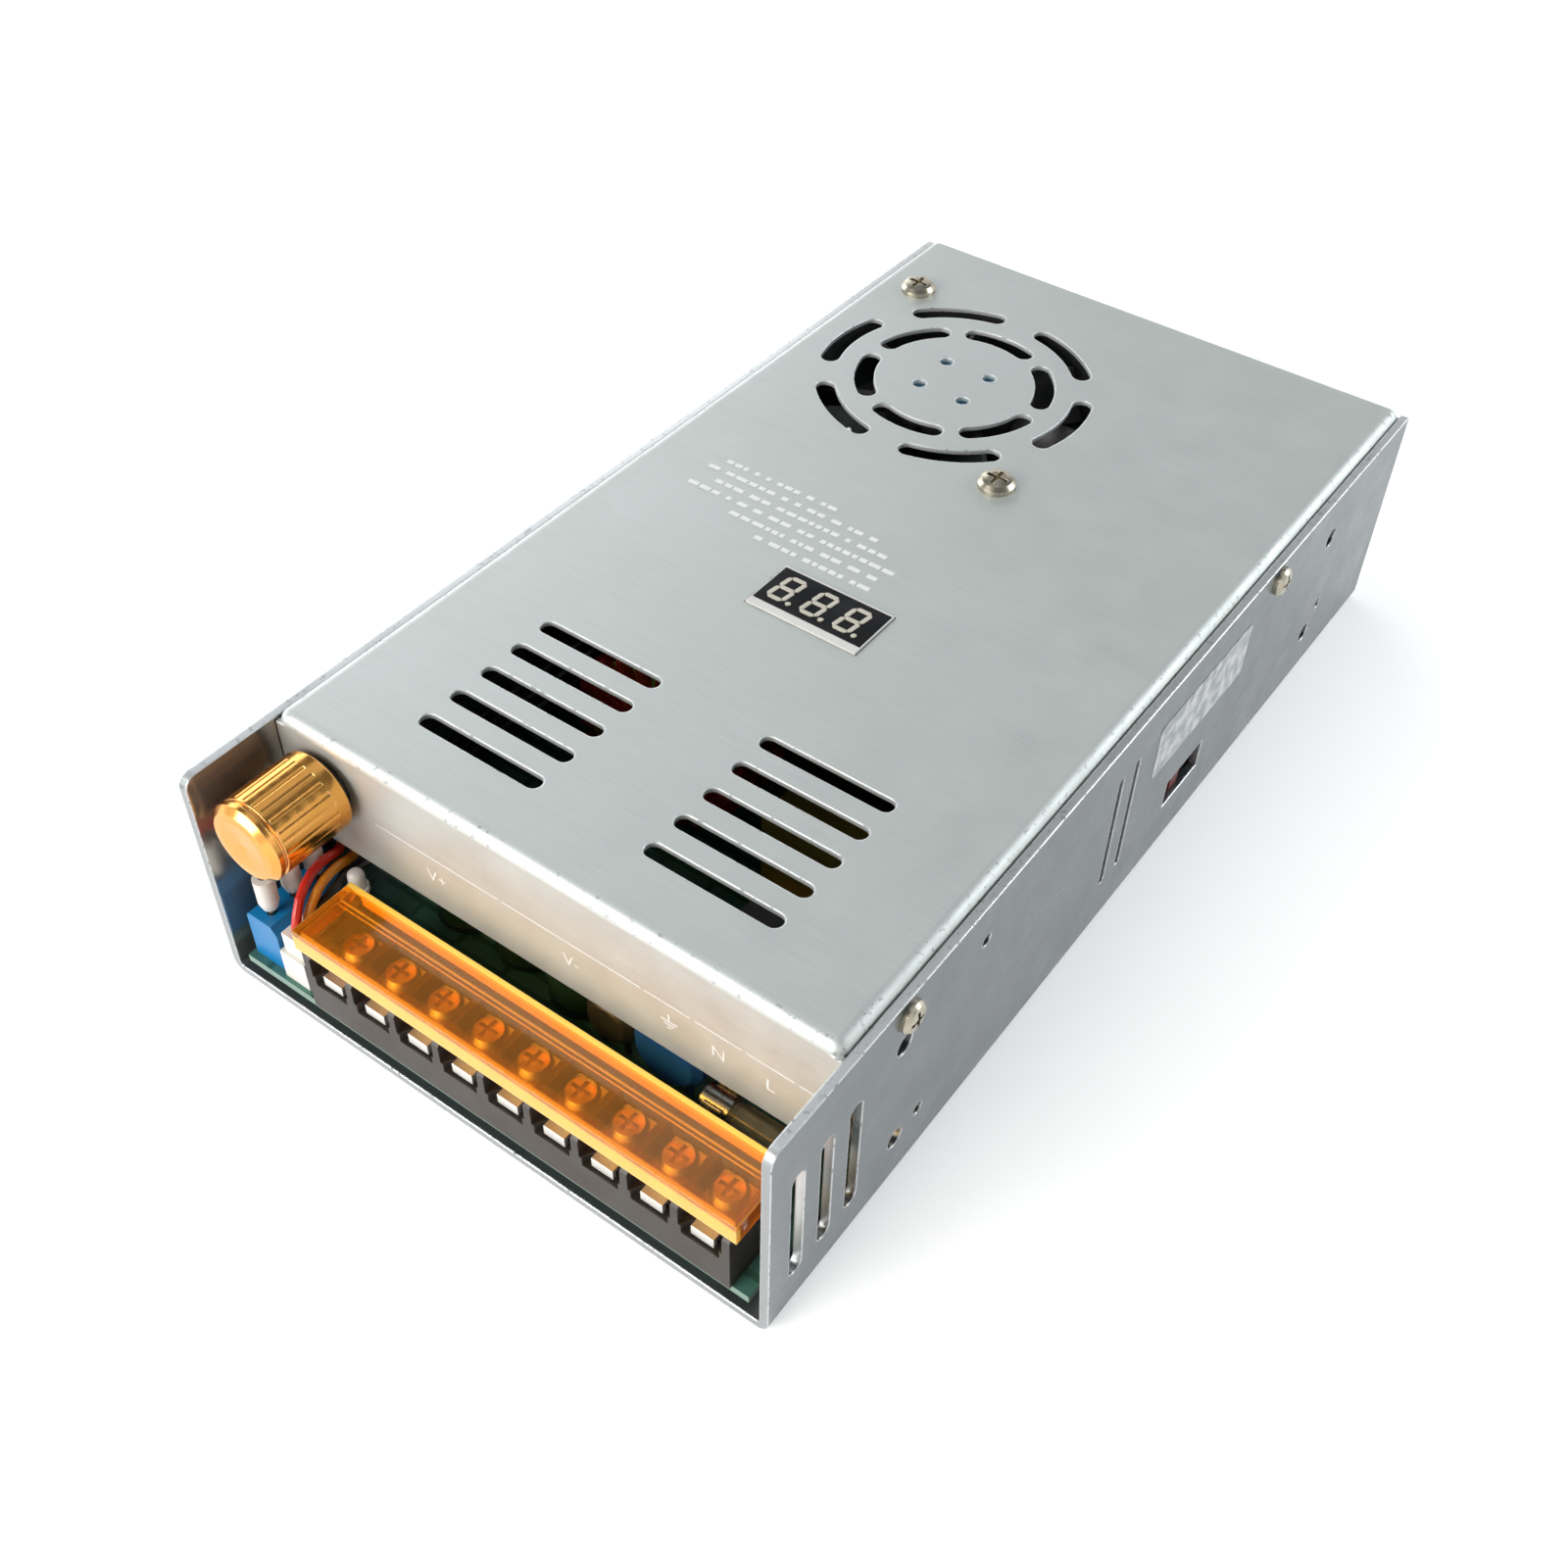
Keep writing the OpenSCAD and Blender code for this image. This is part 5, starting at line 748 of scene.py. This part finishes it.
# Meter: a white moulded frame round a dark window with three seven-segment digits, cast in epoxy. It sits in
# the cover's cutout and carries its own small board.
dress(moulded("white_abs", "#ecebe8", "#dddcd8", 0.42, 0.3, "#f8f8f6"), "meter_housing")
dress(moulded("black_epoxy_window", "#141519", "#0d0e11", 0.22, 0.6), "meter_face")
dress(moulded("unlit_segment_epoxy", "#dcd8ca", "#c8c3b4", 0.4, 0.4), "meter_digits")

# Cover: one zinc plated steel sheet 1 mm thick, punched with slots and the fan grille and folded down inside
# the chassis walls, with white screen printing on its lip.
cover_metal = mill_sheet(
    "zinc_plated_steel_sheet", body="#d2d7d5", bright="#f4f5f7", dull="#cbd1ce", inner_painted_light="#d8dcdb",
    roughness=0.55, rolled=(0.03, 1.0, 1.0), metallic=0.75,
)
dress(cover_metal, "top_cover")

# Screen ink: thin, matt and slightly broken, so the metal shows through a little.
screen_ink, tree = blank("white_screen_ink")
place = add(tree, "ShaderNodeTexCoord").outputs["Object"]
thin = add(tree, "ShaderNodeTexNoise", {"Vector": place, "Scale": 1 / (0.6 * MM), "Detail": 4})
tone = add(tree, "ShaderNodeMix", {
    0: thin.outputs[0], 6: linear("#dfe3e3"), 7: linear("#fbfcfc"),
}, data_type="RGBA")
gloss = add(tree, "ShaderNodeMapRange", {0: thin.outputs[0], 1: 0.3, 2: 0.7, 3: 0.5, 4: 0.65})
ink = add(tree, "ShaderNodeBsdfPrincipled", {
    "Base Color": tone.outputs[2], "Roughness": gloss.outputs[0], "IOR": 1.5,
})
add(tree, "ShaderNodeOutputMaterial", {"Surface": ink.outputs[0]})

# The print stands on the lip's face: a broken line over the ways, an earth sign of four bars, and letters.
# Sizes and places along the lip are in millimetres.
cover_low, cover_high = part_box("top_cover")
ink_t = 0.04 * MM
print_y = cover_low.y - ink_t
upright_print = Matrix.Rotation(math.pi / 2, 4, "X")
line_z, line_w, line_gap = 34.5, 0.3, 0.4
line_breaks = [-36, -8.5, 20, 29.5, 39, 48.5, 54]
earth_x, earth_z = 25, 30.4
earth_bars = ((0.35, 1.6, 0.95), (3.2, 0.35, 0), (2.0, 0.35, -0.75), (0.8, 0.35, -1.5))
marks = []
for left, right in zip(line_breaks, line_breaks[1:]):
    marks.append(((left + right) / 2, line_z, right - left - 2 * line_gap, line_w))
for width, height, rise in earth_bars:
    marks.append((earth_x, earth_z + rise, width, height))
bars = bmesh.new()
for x, z, width, height in marks:
    seat = Matrix.Translation((x * MM, print_y, z * MM)) @ upright_print
    stretch = Matrix.Diagonal((width * MM, height * MM, 1, 1))
    bmesh.ops.create_grid(bars, x_segments=1, y_segments=1, size=0.5, matrix=seat @ stretch)
piece("lip_print_lines", bars, screen_ink, "case")

letter_size, letter_foot = 3.6, 28.9
lip_letters = (("plus", "V+", -22.5), ("minus", "V-", 5.75), ("neutral", "N", 34.3), ("live", "L", 43.8))
for name, words, x in lip_letters:
    lettering = bpy.data.curves.new(name, "FONT")
    lettering.body = words
    lettering.size = letter_size * MM
    lettering.align_x = "CENTER"
    carrier = bpy.data.objects.new(name, lettering)
    scene.collection.objects.link(carrier)
    letters = bmesh.new()
    letters.from_mesh(bpy.data.meshes.new_from_object(carrier))
    bpy.data.objects.remove(carrier)
    bpy.data.curves.remove(lettering)
    seat = Matrix.Translation((x * MM, print_y, letter_foot * MM)) @ upright_print
    bmesh.ops.transform(letters, matrix=seat, verts=letters.verts)
    piece("lip_print_" + name, letters, screen_ink, "case")

# Plain dashes on the cover's top, in rows of random lengths. Their ink is worn thin, so it is paler and flatter
# than the ink on the lip.
faint_ink, tree = blank("worn_screen_ink")
place = add(tree, "ShaderNodeTexCoord").outputs["Object"]
thin = add(tree, "ShaderNodeTexNoise", {"Vector": place, "Scale": 1 / (0.9 * MM), "Detail": 4})
tone = add(tree, "ShaderNodeMix", {
    0: thin.outputs[0], 6: linear("#f0f3f2"), 7: linear("#ffffff"),
}, data_type="RGBA")
ink = add(tree, "ShaderNodeBsdfPrincipled", {"Base Color": tone.outputs[2], "Roughness": 0.55, "IOR": 1.5})
add(tree, "ShaderNodeOutputMaterial", {"Surface": ink.outputs[0]})
first_row_y, row_step, dash_w = 10, 3.1, 1.1
shortest, longest = 0.9, 2.6
gaps = (0.45, 0.5, 1.6)
rows = ((-40, -14), (-42, -4), (-38, 2), (-42, 4), (-30, 3), (-22, 1))
chance = random.Random(7)
dashes = bmesh.new()
for row, (start, end) in enumerate(rows):
    x = start
    while x < end:
        width = chance.uniform(shortest, longest)
        y = first_row_y - row * row_step
        seat = Matrix.Translation(((x + width / 2) * MM, y * MM, cover_high.z + ink_t))
        stretch = Matrix.Diagonal((width * MM, dash_w * MM, 1, 1))
        bmesh.ops.create_grid(dashes, x_segments=1, y_segments=1, size=0.5, matrix=seat @ stretch)
        x += width + chance.choice(gaps)
piece("cover_print_dashes", dashes, faint_ink, "case")

# Cover and fan screws: steel with cross recessed pan heads, cold headed and zinc plated. They are driven
# through the walls into the cover's flaps and through the top into the fan's corners.
dress(zinc_screw, "cover_screws", "fan_screws")

# Side sticker: a blank strip of metallised polyester film, die cut with round corners and pressed on the right
# wall above the selector by its own glue. The film is bright and slightly creased, and paler than the wall.
foil, tree = blank("silver_polyester_sticker")
place = add(tree, "ShaderNodeTexCoord").outputs["Object"]
crease = add(tree, "ShaderNodeTexNoise", {"Vector": place, "Scale": 1 / (2.6 * MM), "Detail": 5})
patch = add(tree, "ShaderNodeMapRange", {0: crease.outputs[0], 1: 0.38, 2: 0.62, 3: 0.0, 4: 1.0})
tone = add(tree, "ShaderNodeMix", {
    0: patch.outputs[0], 6: linear("#9ea4a6"), 7: linear("#dcdedd"),
}, data_type="RGBA")
gloss = add(tree, "ShaderNodeMapRange", {0: crease.outputs[0], 1: 0.3, 2: 0.7, 3: 0.3, 4: 0.48})
relief = add(tree, "ShaderNodeBump", {"Strength": 0.4, "Distance": 0.1 * MM, "Height": crease.outputs[0]})
film = add(tree, "ShaderNodeBsdfPrincipled", {
    "Base Color": tone.outputs[2],
    "Metallic": 0.5,
    "Roughness": gloss.outputs[0],
    "Normal": relief.outputs[0],
})
add(tree, "ShaderNodeOutputMaterial", {"Surface": film.outputs[0]})
wall_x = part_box("base_chassis")[1].x
sticker_t, sticker_l, sticker_h, sticker_r = 0.08 * MM, 35.4 * MM, 12.2 * MM, 1.2 * MM
sticker_y, sticker_z = 21.5 * MM, 32.6 * MM
strip = bmesh.new()
seat = Matrix.Translation((wall_x + sticker_t / 2, sticker_y, sticker_z))
stretch = Matrix.Diagonal((sticker_t, sticker_l, sticker_h, 1))
bmesh.ops.create_cube(strip, size=1, matrix=seat @ stretch)
corners = [e for e in strip.edges if abs((e.verts[0].co - e.verts[1].co).x) > sticker_t / 2]
bmesh.ops.bevel(
    strip, geom=corners, offset=sticker_r, offset_type="OFFSET", affect="EDGES",
    segments=5, profile=0.5, material=-1,
)
piece("side_sticker", strip, foil, "case")
